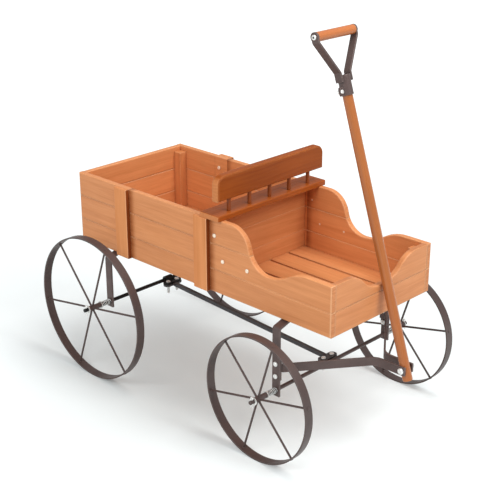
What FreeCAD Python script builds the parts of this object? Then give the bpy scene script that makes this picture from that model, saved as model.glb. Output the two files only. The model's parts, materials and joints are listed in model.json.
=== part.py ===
import FreeCAD, Part
import math
import os

# A wooden flower cart stand: two planter beds joined by a seat with a low
# backrest, carried by four spoked strip-iron wheels, with a pull handle that
# leans on the front board.
#
# Millimetres. +X is the way the cart is pulled, +Y is its left side and +Z is
# up. The origin is on the ground, midway along and across the whole cart.

# ---- running gear ----
wheelbase = 368.0
rear_wheel_radius = 119.0
front_wheel_radius = 96.5
rim_width = 14.0
rim_thickness = 2.2
track_offset = 36.5           # wheels' centre plane outside the brackets' legs
spoke_count = 6
spoke_radius = 1.6
tenon_radius = 1.1            # end of a spoke, through the rim
rivet_radius = 2.2
rivet_height = 0.6
hub_radius = 4.3
hub_outboard = 8.0            # hub length outside the wheel's centre plane
hub_inboard = 16.0            # and inside it
axle_radius = 3.0
axle_running_gap = 0.06       # radial, hub on axle
axle_tail = 8.0               # axle beyond the hub's outer end
washer_radius = 6.0
washer_thickness = 1.0
washer_gap = 0.3              # end float beside the hub
rear_wheel_turn = 10.0        # angle of the first spoke, degrees
front_wheel_turn = 13.0

# ---- coil springs on the axles ----
spring_wire_radius = 0.6
spring_axle_gap = 0.3         # radial, wire round the axle
spring_turns = 6
spring_end_gap = 0.25         # wire to leg, and wire to washer

# ---- split pins ----
pin_radius = 0.9
pin_hole_gap = 0.1
pin_from_end = 3.6            # from the axle's end
pin_eye_radius = 1.9
pin_eye_wire = 0.75
pin_below_axle = 1.5
pin_leg_root = 1.0
pin_leg_length = 6.0
pin_leg_radius = 0.5
pin_leg_spread = 24.0         # degrees

# ---- U brackets ----
bracket_overhang = 15.5       # legs' outer faces beyond the side boards
strap_thickness = 3.0
bracket_width = 13.5
bracket_bend = 2.5            # by the legs, on the strap's centre line
bracket_shoulder_bend = 8.0   # where the shoulders reach the box
bracket_shoulder_drop = 6.5   # legs' bends below the box
bracket_shoulder_inset = 8.0  # shoulders' inner ends inside the side boards' faces
leg_below_axle = 9.5
hole_gap = 0.1                # radial, fasteners and rods in their holes

# ---- reach bar between the axles ----
bar_side = 6.0
end_plate_length = 13.5
end_plate_width = 36.0
end_plate_corner = 6.0
end_plate_gap = 1.5           # beside the axle
bar_weld = 1.5                # of the end plate's length, behind the clamp
bar_sink = 0.9                # bar's ends inside their end plates
clamp_hook_width = 14.0
rear_clamp_drop = 3.0         # plates' joint below the rear axle's centre
clamp_neck_lap = 2.0          # of the hook's neck onto its plate
clamp_bolt_setback = 6.5      # from the end plate's near edge
clamp_bolt_half_pitch = 9.5
clamp_bolt_radius = 2.0
clamp_thread = 17.0           # bolt below the plates' joint

# ---- yoke from the front legs to the handle ----
yoke_height = 131.0           # centre of the straps, and of the pivot
yoke_strap_height = 13.0
yoke_tab_height = 32.0
yoke_tab_width = 12.0
yoke_parallel_run = 44.5      # from the bend to the pivot
yoke_flat = 5.0               # straight start beside the leg
yoke_leg_bend = 6.0           # beside the leg
yoke_front_bend = 22.0        # where the straps turn ahead
yoke_tip = 6.0                # straps beyond the pivot
yoke_bolt_pitch = 19.7
yoke_bolt_drop = 2.7          # bolts' middle below the straps' centre
yoke_nut_clearance = 0.6      # strap cut back round the upper nut
yoke_bolt_radius = 2.0
yoke_bolt_tail = 4.0          # beyond the grip
pivot_ahead = 132.5           # pivot ahead of the front axle
pivot_radius = 2.5
pivot_bolt_tail = 6.0
pivot_running_gap = 0.05      # radial, pole on pivot bolt
pole_side_gap = 0.4           # pole to each strap

# ---- pull handle ----
handle_rest_gap = 0.4         # pole to the front board
pole_radius = 7.3
pole_tail = 17.5              # pole below the pivot
pole_end_rounding = 1.2
grip_height = 479.5           # above the pivot, along the pole
grip_half_length = 38.8
grip_radius = 6.8
grip_bolt_radius = 2.0
grip_bolt_tail = 4.0
grip_end_gap = 0.1
grip_above_pole = 59.0        # grip's centre above the pole's top
socket_lip = 2.0              # socket above the pole's top
socket_length = 28.0
socket_wall = 1.6
socket_gap = 0.1
arm_width = 12.0
arm_thickness = 2.5
arm_foot = 7.5                # arm beside the socket, below the pole's top
arm_upright = 13.0            # from the foot's end to the lower bend
arm_spread_height = 46.0      # between the bends
arm_bend_radius = 5.0
arm_eye_rim = 1.0             # eye's radius beyond half the arm's width
socket_ear_reach = 5.2        # beyond the socket's wall
socket_screw_reach = 2.9      # ear's screw from the wall
socket_ear_length = 12.5
socket_ear_thickness = 4.0
socket_ear_corner = 2.5
socket_screw_radius = 1.5
socket_screw_tail = 3.5

# ---- planter boards ----
box_bottom = 202.0
box_rear_overhang = 83.0      # behind the rear axle
box_front_overhang = 86.2     # ahead of the front axle
box_half_width = 112.0        # outer faces of the side boards
board_thickness = 9.0
lower_board = 36.5
middle_board = 40.0
top_board = 38.5
seam_groove = 0.5
board_rounding = 1.3
shoulder_run = 17.0           # high part of the sides ahead of the seat
valley_run = 74.0             # from the shoulder to the valley
valley_drop = 21.5            # below the front corners
hump_run = 75.0               # from the valley to the hump
front_dip_drop = 29.5         # below the front board's top
front_dip_margin = 27.0       # level part at each end of the front board
front_dip_flat = 8.0          # half of the level part in the middle
batten_width = 28.5
batten_thickness = 7.3
rear_batten_ahead = 27.0      # from the rear axle
front_batten_behind = 38.5    # from the seat's front
batten_screw_setback = 5.0    # behind the batten's middle
batten_screw_cover = 2.8      # wood left over the screw's point
floor_thickness = 8.0
floor_slat_count = 5
floor_slat_gap = 5.0
floor_screw_cover = 2.0
divider_behind = 28.5         # from the seat's front
post_side = 15.0
post_below_top = 8.0

# ---- seat ----
seat_front = 245.0            # from the rear axle
seat_depth = 39.0
seat_thickness = 8.0
seat_overhang = 6.0           # beyond the side boards
seat_rounding = 1.5
backrest_setback = 3.5        # from the seat's front
backrest_thickness = 13.5
backrest_gap = 20.0           # above the seat board
backrest_height = 38.0
backrest_overhang = 2.5       # beyond the side boards
backrest_corner = 14.0
backrest_rounding = 2.5
spindle_radius = 3.0
spindle_count = 5
spindle_margin = 28.0         # outer spindles from the backrest's ends
spindle_socket = 6.0          # depth in each board
spindle_gap = 0.02            # radial, in the sockets
spindle_end_gap = 0.2

# ---- fasteners ----
head_radius_per_shank = 1.9
head_height_per_shank = 1.1
head_edge_share = 0.6         # of the head's height that is rounded over
nut_flats_per_shank = 1.75
nut_height_per_shank = 1.6
thread_gap = 0.02             # radial, nut on bolt
screw_radius = 1.5
screw_head_radius = 3.2
screw_head_height = 1.8
side_screws = ((-14.0, 53.5), (2.6, 17.0), (52.0, 17.0))   # ahead of the seat's front, above the low seam

# ---- working allowances ----
cut_over = 1.0                # cutters run this far past a face
rounding_share = 0.4          # most of a wall that one rounding may take
corner_share = 0.45           # most of a plate that one corner may take
tiny = 1e-6
far_away = 2000.0

# ---- levels and places that follow from the sizes above ----
rear_axle_z = rear_wheel_radius
front_axle_z = front_wheel_radius
# The pole leans back until it lies in the front board's dip.
dip_z = box_bottom + lower_board + middle_board - front_dip_drop
dip_behind = pivot_ahead - box_front_overhang
dip_above = dip_z - yoke_height
lean = (math.acos((pole_radius + handle_rest_gap) / math.hypot(dip_behind, dip_above))
        - math.atan2(dip_above, dip_behind))
front_reach = pivot_ahead + pole_tail * math.sin(lean) + pole_radius * math.cos(lean)
rear_x = (rear_wheel_radius - wheelbase - front_reach) / 2.0
front_x = rear_x + wheelbase
pivot_x = front_x + pivot_ahead
box_rear = rear_x - box_rear_overhang
box_front = front_x + box_front_overhang
box_inner = box_half_width - board_thickness
seam_low = box_bottom + lower_board
seam_high = seam_low + middle_board
box_top = seam_high + top_board
front_top = seam_high
floor_top = box_bottom + floor_thickness
valley_z = front_top - valley_drop
seat_front_x = rear_x + seat_front
divider_x = seat_front_x - divider_behind
backrest_front_x = seat_front_x - backrest_setback
backrest_half_width = box_half_width + backrest_overhang
batten_places = (("rear", rear_x + rear_batten_ahead), ("front", seat_front_x - front_batten_behind))
bracket_half_width = box_half_width + bracket_overhang
track_half = bracket_half_width + track_offset
spring_mean_radius = axle_radius + spring_wire_radius + spring_axle_gap
end_plate_start = axle_radius + end_plate_gap
clamp_bolt_offset = end_plate_start + clamp_bolt_setback
pole_top = grip_height - grip_above_pole
socket_high = pole_top + socket_lip
socket_low = socket_high - socket_length
arm_low = pole_top - arm_foot
arm_bend_low = arm_low + arm_upright
arm_bend_high = arm_bend_low + arm_spread_height
seat_top = box_top + seat_thickness
backrest_bottom = seat_top + backrest_gap
slat_width = (2 * box_inner - (floor_slat_count - 1) * floor_slat_gap) / floor_slat_count
slat_centres = [(slat_width + floor_slat_gap) * (k - (floor_slat_count - 1) / 2.0)
                for k in range(floor_slat_count)]
hub_inner_end = track_half - hub_inboard
hub_outer_end = track_half + hub_outboard
axle_end = hub_outer_end + axle_tail

X = FreeCAD.Vector(1, 0, 0)
Y = FreeCAD.Vector(0, 1, 0)
Z = FreeCAD.Vector(0, 0, 1)

os.makedirs("parts", exist_ok=True)


# ---- helpers ----
def vec(x, y, z):
    return FreeCAD.Vector(x, y, z)


def save(name, shape):
    shape.exportStep(os.path.join("parts", name + ".step"))
    print(name, len(shape.Solids), "solids", round(shape.Volume / 1000.0, 2), "cm3")


def block(x0, x1, y0, y1, z0, z1):
    low = vec(min(x0, x1), min(y0, y1), min(z0, z1))
    return Part.makeBox(abs(x1 - x0), abs(y1 - y0), abs(z1 - z0), low)


def rod(start, end, radius):
    axis = end - start
    return Part.makeCylinder(radius, axis.Length, start, axis)


def tube(start, end, outer, inner):
    return rod(start, end, outer).cut(rod(start, end, inner))


def hexagon(centre, axis, flats, height):
    # A nut's outline: six corners round the axis, and the flats' distance across.
    corner = flats / math.sqrt(3.0)
    points = [vec(corner * math.cos(math.radians(60 * k)), corner * math.sin(math.radians(60 * k)), 0)
              for k in range(7)]
    solid = Part.Face(Part.makePolygon(points)).extrude(Z * height)
    solid.Placement = FreeCAD.Placement(centre, FreeCAD.Rotation(Z, axis))
    return solid


def dome_head(centre, axis, radius, height):
    # A low button head: a disc whose upper edge is rounded over.
    head = Part.makeCylinder(radius, height, centre, axis)
    top = centre + axis * height
    rim = [e for e in head.Edges
           if len(e.Vertexes) == 1 and abs((e.Vertexes[0].Point - top).dot(axis)) < tiny]
    return head.makeFillet(min(radius, height) * head_edge_share, rim)


def bolt_and_nut(start, axis, radius, grip, tail):
    # Head outside the start, nut outside the far side of the grip, tail beyond it.
    head = dome_head(start, axis * -1, radius * head_radius_per_shank, radius * head_height_per_shank)
    bolt = head.fuse(rod(start, start + axis * (grip + tail), radius)).removeSplitter()
    nut = hexagon(start + axis * grip, axis, radius * 2 * nut_flats_per_shank, radius * nut_height_per_shank)
    nut = nut.cut(rod(start, start + axis * (grip + tail), radius + thread_gap))
    return [bolt, nut]


def dome_screw(seat, axis, length):
    head = dome_head(seat, axis * -1, screw_head_radius, screw_head_height)
    return head.fuse(rod(seat, seat + axis * length, screw_radius)).removeSplitter()


def strap_face(points, bends, thickness, place):
    # A strip of even thickness along a bent line, each corner with its own arc.
    half = thickness / 2.0
    runs = []
    for a, b in zip(points, points[1:]):
        length = math.hypot(b[0] - a[0], b[1] - a[1])
        runs.append(((b[0] - a[0]) / length, (b[1] - a[1]) / length))
    sides = []
    for sign in (1, -1):
        edges = []
        at = offset(points[0], runs[0], sign * half)
        for k in range(1, len(points) - 1):
            before, after, bend = runs[k - 1], runs[k], bends[k - 1]
            turn = math.atan2(before[0] * after[1] - before[1] * after[0],
                              before[0] * after[0] + before[1] * after[1])
            reach = bend * math.tan(abs(turn) / 2.0)
            start = (points[k][0] - before[0] * reach, points[k][1] - before[1] * reach)
            inward = math.copysign(1.0, turn)
            centre = offset(start, before, inward * bend)
            radius = bend - inward * sign * half
            arc = []
            for share in (0.0, 0.5, 1.0):
                angle = math.atan2(-before[0] * inward, before[1] * inward) + turn * share
                arc.append((centre[0] + radius * math.cos(angle), centre[1] + radius * math.sin(angle)))
            edges.append(Part.LineSegment(place(at), place(arc[0])).toShape())
            edges.append(Part.Arc(place(arc[0]), place(arc[1]), place(arc[2])).toShape())
            at = arc[2]
        end = offset(points[-1], runs[-1], sign * half)
        edges.append(Part.LineSegment(place(at), place(end)).toShape())
        sides.append((edges, offset(points[0], runs[0], sign * half), end))
    caps = [Part.LineSegment(place(sides[0][1]), place(sides[1][1])).toShape(),
            Part.LineSegment(place(sides[0][2]), place(sides[1][2])).toShape()]
    return Part.Face(Part.Wire(Part.__sortEdges__(sides[0][0] + sides[1][0] + caps)))


def offset(point, run, distance):
    return (point[0] - run[1] * distance, point[1] + run[0] * distance)


def s_curve(start, end, place):
    # Two equal arcs that leave the start level and reach the end level.
    a = (end[0] - start[0]) / 2.0
    b = (end[1] - start[1]) / 2.0
    radius = (a * a + b * b) / (2.0 * abs(b))
    half_turn = math.atan2(abs(b), abs(a))
    along = math.copysign(radius * math.sin(half_turn), a)
    rise = math.copysign(radius * (1.0 - math.cos(half_turn)), b)
    middle = (start[0] + a, start[1] + b)
    first = Part.Arc(place(start), place((start[0] + along, start[1] + rise)), place(middle))
    second = Part.Arc(place(middle), place((end[0] - along, end[1] - rise)), place(end))
    return [first.toShape(), second.toShape()]


def line(a, b, place):
    return Part.LineSegment(place(a), place(b)).toShape()


def groove_x(y, z, x0, x1):
    # A small V cut along X, where two boards meet on an outer face.
    g = seam_groove
    points = [vec(x0, y - g, z), vec(x0, y, z - g), vec(x0, y + g, z), vec(x0, y, z + g), vec(x0, y - g, z)]
    return Part.Face(Part.makePolygon(points)).extrude(X * (x1 - x0))


def groove_y(x, z, y0, y1):
    g = seam_groove
    points = [vec(x - g, y0, z), vec(x, y0, z - g), vec(x + g, y0, z), vec(x, y0, z + g), vec(x - g, y0, z)]
    return Part.Face(Part.makePolygon(points)).extrude(Y * (y1 - y0))


def groove_z(x, y, z0, z1):
    g = seam_groove
    points = [vec(x - g, y, z0), vec(x, y - g, z0), vec(x + g, y, z0), vec(x, y + g, z0), vec(x - g, y, z0)]
    return Part.Face(Part.makePolygon(points)).extrude(Z * (z1 - z0))


def rounded(shape, radius, wanted):
    edges = [e for e in shape.Edges if wanted(e)]
    return shape.makeFillet(radius, edges) if edges else shape


def split_boards(blank, bands, grooves):
    boards = {}
    for name, low, high in bands:
        board = blank.common(block(-far_away, far_away, -far_away, far_away, low, high))
        for groove in grooves:
            board = board.cut(groove)
        boards[name] = board
    return boards


side_names = {1: "left", -1: "right"}
bands = (("lower", box_bottom, seam_low), ("middle", seam_low, seam_high), ("top", seam_high, box_top))


# ---- wheels ----
def wheel(name, x, z, radius, side, first_angle):
    y = side * track_half
    inner = radius - rim_thickness
    rim = tube(vec(x, y - rim_width / 2, z), vec(x, y + rim_width / 2, z), radius, inner)
    spokes = []
    for k in range(spoke_count):
        angle = math.radians(first_angle + 360.0 * k / spoke_count)
        out = vec(math.cos(angle), 0, math.sin(angle))
        centre = vec(x, y, z)
        rim = rim.cut(rod(centre + out * (inner - cut_over), centre + out * (radius + cut_over),
                          tenon_radius))
        shoulder = math.sqrt(inner ** 2 - spoke_radius ** 2)
        spoke = rod(centre + out * hub_radius, centre + out * shoulder, spoke_radius)
        spoke = spoke.fuse(rod(centre + out * shoulder, centre + out * radius, tenon_radius))
        spoke = spoke.fuse(rod(centre + out * radius, centre + out * (radius + rivet_height), rivet_radius))
        spokes.append(spoke.removeSplitter())
    hub = tube(vec(x, side * hub_inner_end, z), vec(x, side * hub_outer_end, z),
               hub_radius, axle_radius + axle_running_gap)
    save(name + "_rim", rim)
    save(name + "_spokes", Part.makeCompound(spokes))
    save(name + "_hub", hub)


for side, side_name in side_names.items():
    wheel("rear_wheel_" + side_name, rear_x, rear_axle_z, rear_wheel_radius, side, rear_wheel_turn)
    wheel("front_wheel_" + side_name, front_x, front_axle_z, front_wheel_radius, side, front_wheel_turn)


# ---- axles, washers and split pins ----
axle_places = (("rear", rear_x, rear_axle_z), ("front", front_x, front_axle_z))
washers = []
split_pins = []
for name, x, z in axle_places:
    axle = rod(vec(x, -axle_end, z), vec(x, axle_end, z), axle_radius)
    for side in (1, -1):
        pin_y = side * (axle_end - pin_from_end)
        reach = axle_radius + cut_over
        axle = axle.cut(rod(vec(x, pin_y, z - reach), vec(x, pin_y, z + reach), pin_radius + pin_hole_gap))

        low = vec(x, pin_y, z - axle_radius - pin_below_axle)
        eye = vec(x, pin_y, z + axle_radius + pin_eye_radius + pin_eye_wire)
        pin = rod(low, eye - Z * pin_eye_radius, pin_radius)
        pin = pin.fuse(Part.makeTorus(pin_eye_radius, pin_eye_wire, eye, Y))
        for way in (1, -1):
            spread = math.radians(pin_leg_spread) * way
            leg = vec(math.sin(spread), 0, -math.cos(spread)) * pin_leg_length
            root = low + Z * pin_leg_root
            pin = pin.fuse(rod(root, root + leg, pin_leg_radius))
        split_pins.append(pin.removeSplitter())

        for face, way in ((hub_outer_end, 1), (hub_inner_end, -1)):
            near = face + way * washer_gap
            far = near + way * washer_thickness
            washers.append(tube(vec(x, side * near, z), vec(x, side * far, z), washer_radius,
                                axle_radius + hole_gap))
    save(name + "_axle", axle)
save("axle_washers", Part.makeCompound(washers))
save("split_pins", Part.makeCompound(split_pins))


# ---- coil springs between each leg and its wheel's inner washer ----
def arc_from_tangent(start, tangent, end):
    chord = end - start
    inward = chord - tangent * chord.dot(tangent)
    inward.normalize()
    radius = chord.dot(chord) / (2.0 * chord.dot(inward))
    centre = start + inward * radius
    out = (start + end) * 0.5 - centre
    out.normalize()
    return Part.Arc(start, centre + out * radius, end).toShape(), radius


def biarc(start, tangent, end, end_tangent):
    # Two arcs that leave along one tangent and arrive along the other.
    across = end - start
    both = tangent + end_tangent
    spread = 1.0 - tangent.dot(end_tangent)
    reach = across.dot(both)
    d = (-reach + math.sqrt(reach * reach + 2.0 * spread * across.dot(across))) / (2.0 * spread)
    joint = (start + end + (tangent - end_tangent) * d) * 0.5
    first, first_radius = arc_from_tangent(start, tangent, joint)
    second, second_radius = arc_from_tangent(end, end_tangent * -1, joint)
    return [first, second], min(first_radius, second_radius)


def spring(x, z, side):
    # One unbroken wire on quarter turns; it winds outward from the leg.
    start_y = bracket_half_width + spring_end_gap + spring_wire_radius
    end_y = hub_inner_end - washer_gap - washer_thickness - spring_end_gap - spring_wire_radius
    quarters = int(round(spring_turns * 4))
    rise = (end_y - start_y) / quarters
    slope = rise / (math.pi / 2.0)

    def point(k):
        angle = math.pi / 2.0 * k
        return vec(x + spring_mean_radius * math.cos(angle), side * (start_y + rise * k),
                   z + spring_mean_radius * math.sin(angle))

    def tangent(k):
        angle = math.pi / 2.0 * k
        way = vec(-spring_mean_radius * math.sin(angle), side * slope, spring_mean_radius * math.cos(angle))
        way.normalize()
        return way

    edges = []
    tightest = spring_mean_radius
    for k in range(quarters):
        pair, radius = biarc(point(k), tangent(k), point(k + 1), tangent(k + 1))
        edges += pair
        tightest = min(tightest, radius)
    path = Part.Wire(edges)
    section = Part.Wire(Part.Circle(point(0), tangent(0), spring_wire_radius).toShape())
    wire = path.makePipeShell([section], True, False)
    return wire, path, tightest


def least_gap(path, turn_length):
    # Distance between wire centres more than half a turn apart, less the wire.
    points = path.discretize(Number=400)
    step = path.Length / 399.0
    skip = int(turn_length * 0.5 / step) + 1
    least = min((points[i] - points[j]).Length
                for i in range(len(points)) for j in range(i + skip, len(points)))
    return least - 2.0 * spring_wire_radius


springs = []
for name, x, z in axle_places:
    for side in (1, -1):
        wire, path, tightest = spring(x, z, side)
        springs.append(wire)
        gap = least_gap(path, path.Length / spring_turns)
        drawn = math.pi * spring_wire_radius ** 2 * path.Length
        print("spring", name, side, "least gap to itself", round(gap, 2),
              "tightest bend", round(tightest, 2),
              "volume over section x length", round(wire.Volume / drawn, 3))
save("axle_springs", Part.makeCompound(springs))


# ---- U brackets under the beds ----
def bracket(x, axle_z):
    middle = bracket_half_width - strap_thickness / 2
    foot = axle_z - leg_below_axle
    top = box_bottom - strap_thickness / 2
    bend_level = top - bracket_shoulder_drop
    shoulder = box_half_width - bracket_shoulder_inset
    path = [(-middle, foot), (-middle, bend_level), (-shoulder, top),
            (shoulder, top), (middle, bend_level), (middle, foot)]
    start = x - bracket_width / 2
    bends = (bracket_bend, bracket_shoulder_bend, bracket_shoulder_bend, bracket_bend)
    face = strap_face(path, bends, strap_thickness, lambda p: vec(start, p[0], p[1]))
    body = face.extrude(X * bracket_width)
    reach = bracket_half_width + cut_over
    body = body.cut(rod(vec(x, -reach, axle_z), vec(x, reach, axle_z), axle_radius + hole_gap))
    for y in slat_centres:
        body = body.cut(rod(vec(x, y, box_bottom - strap_thickness - cut_over),
                            vec(x, y, box_bottom + cut_over), screw_radius + hole_gap))
    return body


yoke_bolt_middle = yoke_height - yoke_bolt_drop
yoke_bolt_levels = (yoke_bolt_middle - yoke_bolt_pitch / 2, yoke_bolt_middle + yoke_bolt_pitch / 2)
tab_outer = bracket_half_width - strap_thickness
tab_inner = tab_outer - strap_thickness
save("rear_bracket", bracket(rear_x, rear_axle_z))
front_bracket = bracket(front_x, front_axle_z)
for level in yoke_bolt_levels:
    reach = bracket_half_width + cut_over
    front_bracket = front_bracket.cut(rod(vec(front_x, -reach, level), vec(front_x, reach, level),
                                          yoke_bolt_radius + hole_gap))
save("front_bracket", front_bracket)


# ---- reach bar, its end plates and the clamps that hook round the axles ----
def ear_plate(axle_x, way, low, length):
    # A plate beside the axle with two rounded ears.
    near = axle_x + way * end_plate_start
    far = near + way * length
    plate = block(near, far, -end_plate_width / 2, end_plate_width / 2, low, low + strap_thickness)
    return rounded(plate, min(end_plate_corner, length * corner_share),
                   lambda e: abs(e.tangentAt(e.FirstParameter).z) > 0.9)


def clamp_bolt_holes(axle_x, way, level):
    holes = []
    for side in (1, -1):
        x = axle_x + way * clamp_bolt_offset
        y = side * clamp_bolt_half_pitch
        reach = strap_thickness + cut_over
        holes.append(rod(vec(x, y, level - reach), vec(x, y, level + reach), clamp_bolt_radius + hole_gap))
    return holes


def clamp(axle_x, axle_z, level, way, up):
    # The plate lies on the end plate; its hook is half a ring round the axle, with a leg
    # down to the plate where that lies lower.
    inner = axle_radius + hole_gap
    outer = inner + strap_thickness
    low = level if up > 0 else level - strap_thickness
    half = clamp_hook_width / 2
    hook = tube(vec(axle_x, -half, axle_z), vec(axle_x, half, axle_z), outer, inner)
    hook = hook.common(block(axle_x - outer, axle_x + outer, -half, half, axle_z, axle_z + up * outer))
    neck = block(axle_x + way * (inner + strap_thickness / 2),
                 axle_x + way * (end_plate_start + clamp_neck_lap), -half, half, low, low + strap_thickness)
    body = ear_plate(axle_x, way, low, end_plate_length - bar_weld).fuse(neck).fuse(hook)
    if level < axle_z:
        body = body.fuse(block(axle_x + way * inner, axle_x + way * outer, -half, half, level, axle_z))
    for hole in clamp_bolt_holes(axle_x, way, level):
        body = body.cut(hole)
    return body.removeSplitter()


rear_joint = rear_axle_z - rear_clamp_drop
rear_bar_start = vec(rear_x + end_plate_start + end_plate_length - bar_sink, 0,
                     rear_joint - strap_thickness / 2)
front_bar_end = vec(front_x - end_plate_start - end_plate_length + bar_sink, 0,
                    front_axle_z + strap_thickness / 2)
bar_run = front_bar_end - rear_bar_start
bar_across = Y * (bar_side / 2)
bar_up = Y.cross(bar_run)
bar_up.normalize()
if bar_up.z < 0:
    bar_up = bar_up * -1
corners = []
for across, up in ((-1, -1), (1, -1), (1, 1), (-1, 1), (-1, -1)):
    corners.append(rear_bar_start + bar_across * across + bar_up * (up * bar_side / 2))
bar = Part.Face(Part.makePolygon(corners)).extrude(bar_run)
reach_bar = bar.fuse(ear_plate(rear_x, 1, rear_joint - strap_thickness, end_plate_length))
reach_bar = reach_bar.fuse(ear_plate(front_x, -1, front_axle_z, end_plate_length))
for hole in clamp_bolt_holes(rear_x, 1, rear_joint) + clamp_bolt_holes(front_x, -1, front_axle_z):
    reach_bar = reach_bar.cut(hole)
save("reach_bar", reach_bar.removeSplitter())
save("rear_axle_clamp", clamp(rear_x, rear_axle_z, rear_joint, 1, 1))
save("front_axle_clamp", clamp(front_x, front_axle_z, front_axle_z, -1, -1))

clamp_bolts = []
for axle_x, level, way in ((rear_x, rear_joint, 1), (front_x, front_axle_z, -1)):
    for side in (1, -1):
        seat = vec(axle_x + way * clamp_bolt_offset, side * clamp_bolt_half_pitch, level + strap_thickness)
        tail = clamp_thread - strap_thickness
        clamp_bolts += bolt_and_nut(seat, Z * -1, clamp_bolt_radius, 2 * strap_thickness, tail)
save("clamp_bolts", Part.makeCompound(clamp_bolts))


# ---- yoke: a strap each side, from a tab on the front leg to the pivot ----
strap_inner = pole_radius + pole_side_gap
strap_middle = strap_inner + strap_thickness / 2
nut_room = yoke_bolt_radius * 2 * nut_flats_per_shank / math.sqrt(3.0) + yoke_nut_clearance
for side, side_name in side_names.items():
    tab_low = yoke_bolt_middle - yoke_tab_height / 2
    tab = block(front_x - yoke_tab_width / 2, front_x + yoke_tab_width / 2, side * tab_inner,
                side * tab_outer, tab_low, tab_low + yoke_tab_height)
    start_y = tab_inner - strap_thickness / 2
    path = [(front_x - yoke_tab_width / 2, side * start_y), (front_x + yoke_flat, side * start_y),
            (pivot_x - yoke_parallel_run, side * strap_middle), (pivot_x + yoke_tip, side * strap_middle)]
    low = yoke_height - yoke_strap_height / 2
    bends = (yoke_leg_bend, yoke_front_bend)
    face = strap_face(path, bends, strap_thickness, lambda p: vec(p[0], p[1], low))
    strap = face.extrude(Z * yoke_strap_height)
    # The upper nut sits on the tab, so the strap's edge is cut back round it.
    nut_inner = tab_inner - nut_height_per_shank * yoke_bolt_radius - yoke_bolt_tail
    strap = strap.cut(rod(vec(front_x, side * nut_inner, yoke_bolt_levels[-1]),
                          vec(front_x, side * tab_inner, yoke_bolt_levels[-1]), nut_room))
    arm = tab.fuse(strap)
    reach = bracket_half_width + cut_over
    for level in yoke_bolt_levels:
        arm = arm.cut(rod(vec(front_x, 0, level), vec(front_x, side * reach, level),
                          yoke_bolt_radius + hole_gap))
    through = strap_inner + strap_thickness + cut_over
    arm = arm.cut(rod(vec(pivot_x, 0, yoke_height), vec(pivot_x, side * through, yoke_height),
                      pivot_radius + hole_gap))
    save("yoke_arm_" + side_name, arm.removeSplitter())

yoke_bolts = []
for side in (1, -1):
    for level in yoke_bolt_levels:
        seat = vec(front_x, side * bracket_half_width, level)
        yoke_bolts += bolt_and_nut(seat, Y * -side, yoke_bolt_radius, 2 * strap_thickness, yoke_bolt_tail)
save("yoke_bolts", Part.makeCompound(yoke_bolts))

pivot_seat = vec(pivot_x, -(strap_inner + strap_thickness), yoke_height)
pivot_grip = 2 * (strap_inner + strap_thickness)
pivot_bolt = bolt_and_nut(pivot_seat, Y, pivot_radius, pivot_grip, pivot_bolt_tail)
save("pivot_bolt", Part.makeCompound(pivot_bolt))


# ---- pull handle: modelled upright on its pivot, then leaned back ----
def lean_back(shape):
    tilt = FreeCAD.Rotation(Y, -math.degrees(lean))
    shape = shape.copy()
    shape.Placement = FreeCAD.Placement(vec(pivot_x, 0, yoke_height), tilt).multiply(shape.Placement)
    return shape


pole = rod(vec(0, 0, -pole_tail), vec(0, 0, pole_top), pole_radius)
pole = rounded(pole, pole_end_rounding, lambda e: abs(e.BoundBox.ZMax + pole_tail) < tiny)
reach = pole_radius + cut_over
pole = pole.cut(rod(vec(0, -reach, 0), vec(0, reach, 0), pivot_radius + pivot_running_gap))
save("handle_pole", lean_back(pole))

socket_outer = pole_radius + socket_gap + socket_wall
ear_end = socket_outer + socket_ear_reach
ear_top = socket_low + socket_ear_length
socket = tube(vec(0, 0, socket_low), vec(0, 0, socket_high), socket_outer, pole_radius + socket_gap)
ear = block(-socket_ear_thickness / 2, socket_ear_thickness / 2, -(socket_outer - socket_wall / 2), -ear_end,
            socket_low, ear_top)
ear = rounded(ear, min(socket_ear_corner, socket_ear_reach * corner_share),
              lambda e: e.BoundBox.XLength > tiny and abs(e.CenterOfMass.y + ear_end) < tiny)
socket_screw_seat = vec(socket_ear_thickness / 2, -(socket_outer + socket_screw_reach),
                        socket_low + socket_ear_length / 2)
socket = socket.fuse(ear).cut(rod(socket_screw_seat + X * cut_over,
                                  socket_screw_seat - X * (socket_ear_thickness + cut_over),
                                  socket_screw_radius + hole_gap))
save("handle_socket", lean_back(socket.removeSplitter()))
socket_screw = bolt_and_nut(socket_screw_seat, X * -1, socket_screw_radius, socket_ear_thickness,
                            socket_screw_tail)
save("socket_screw", lean_back(Part.makeCompound(socket_screw)))

arm_inner = socket_outer
grip_outer = grip_half_length + arm_thickness
for side, side_name in side_names.items():
    near = side * (arm_inner + arm_thickness / 2)
    far = side * (grip_half_length + arm_thickness / 2)
    path = [(near, arm_low), (near, arm_bend_low), (far, arm_bend_high), (far, grip_height)]
    bends = (arm_bend_radius, arm_bend_radius)
    face = strap_face(path, bends, arm_thickness, lambda p: vec(-arm_width / 2, p[0], p[1]))
    arm = face.extrude(X * arm_width)
    eye = rod(vec(0, side * grip_half_length, grip_height), vec(0, side * grip_outer, grip_height),
              arm_width / 2 + arm_eye_rim)
    arm = arm.fuse(eye)
    arm = arm.cut(rod(vec(0, 0, grip_height), vec(0, side * (grip_outer + cut_over), grip_height),
                      grip_bolt_radius + hole_gap))
    save("handle_arm_" + side_name, lean_back(arm.removeSplitter()))

grip_end = grip_half_length - grip_end_gap
grip = tube(vec(0, -grip_end, grip_height), vec(0, grip_end, grip_height), grip_radius,
            grip_bolt_radius + hole_gap)
save("handle_grip", lean_back(grip))
grip_bolt = bolt_and_nut(vec(0, -grip_outer, grip_height), Y, grip_bolt_radius, 2 * grip_outer,
                         grip_bolt_tail)
save("grip_bolt", lean_back(Part.makeCompound(grip_bolt)))


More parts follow.
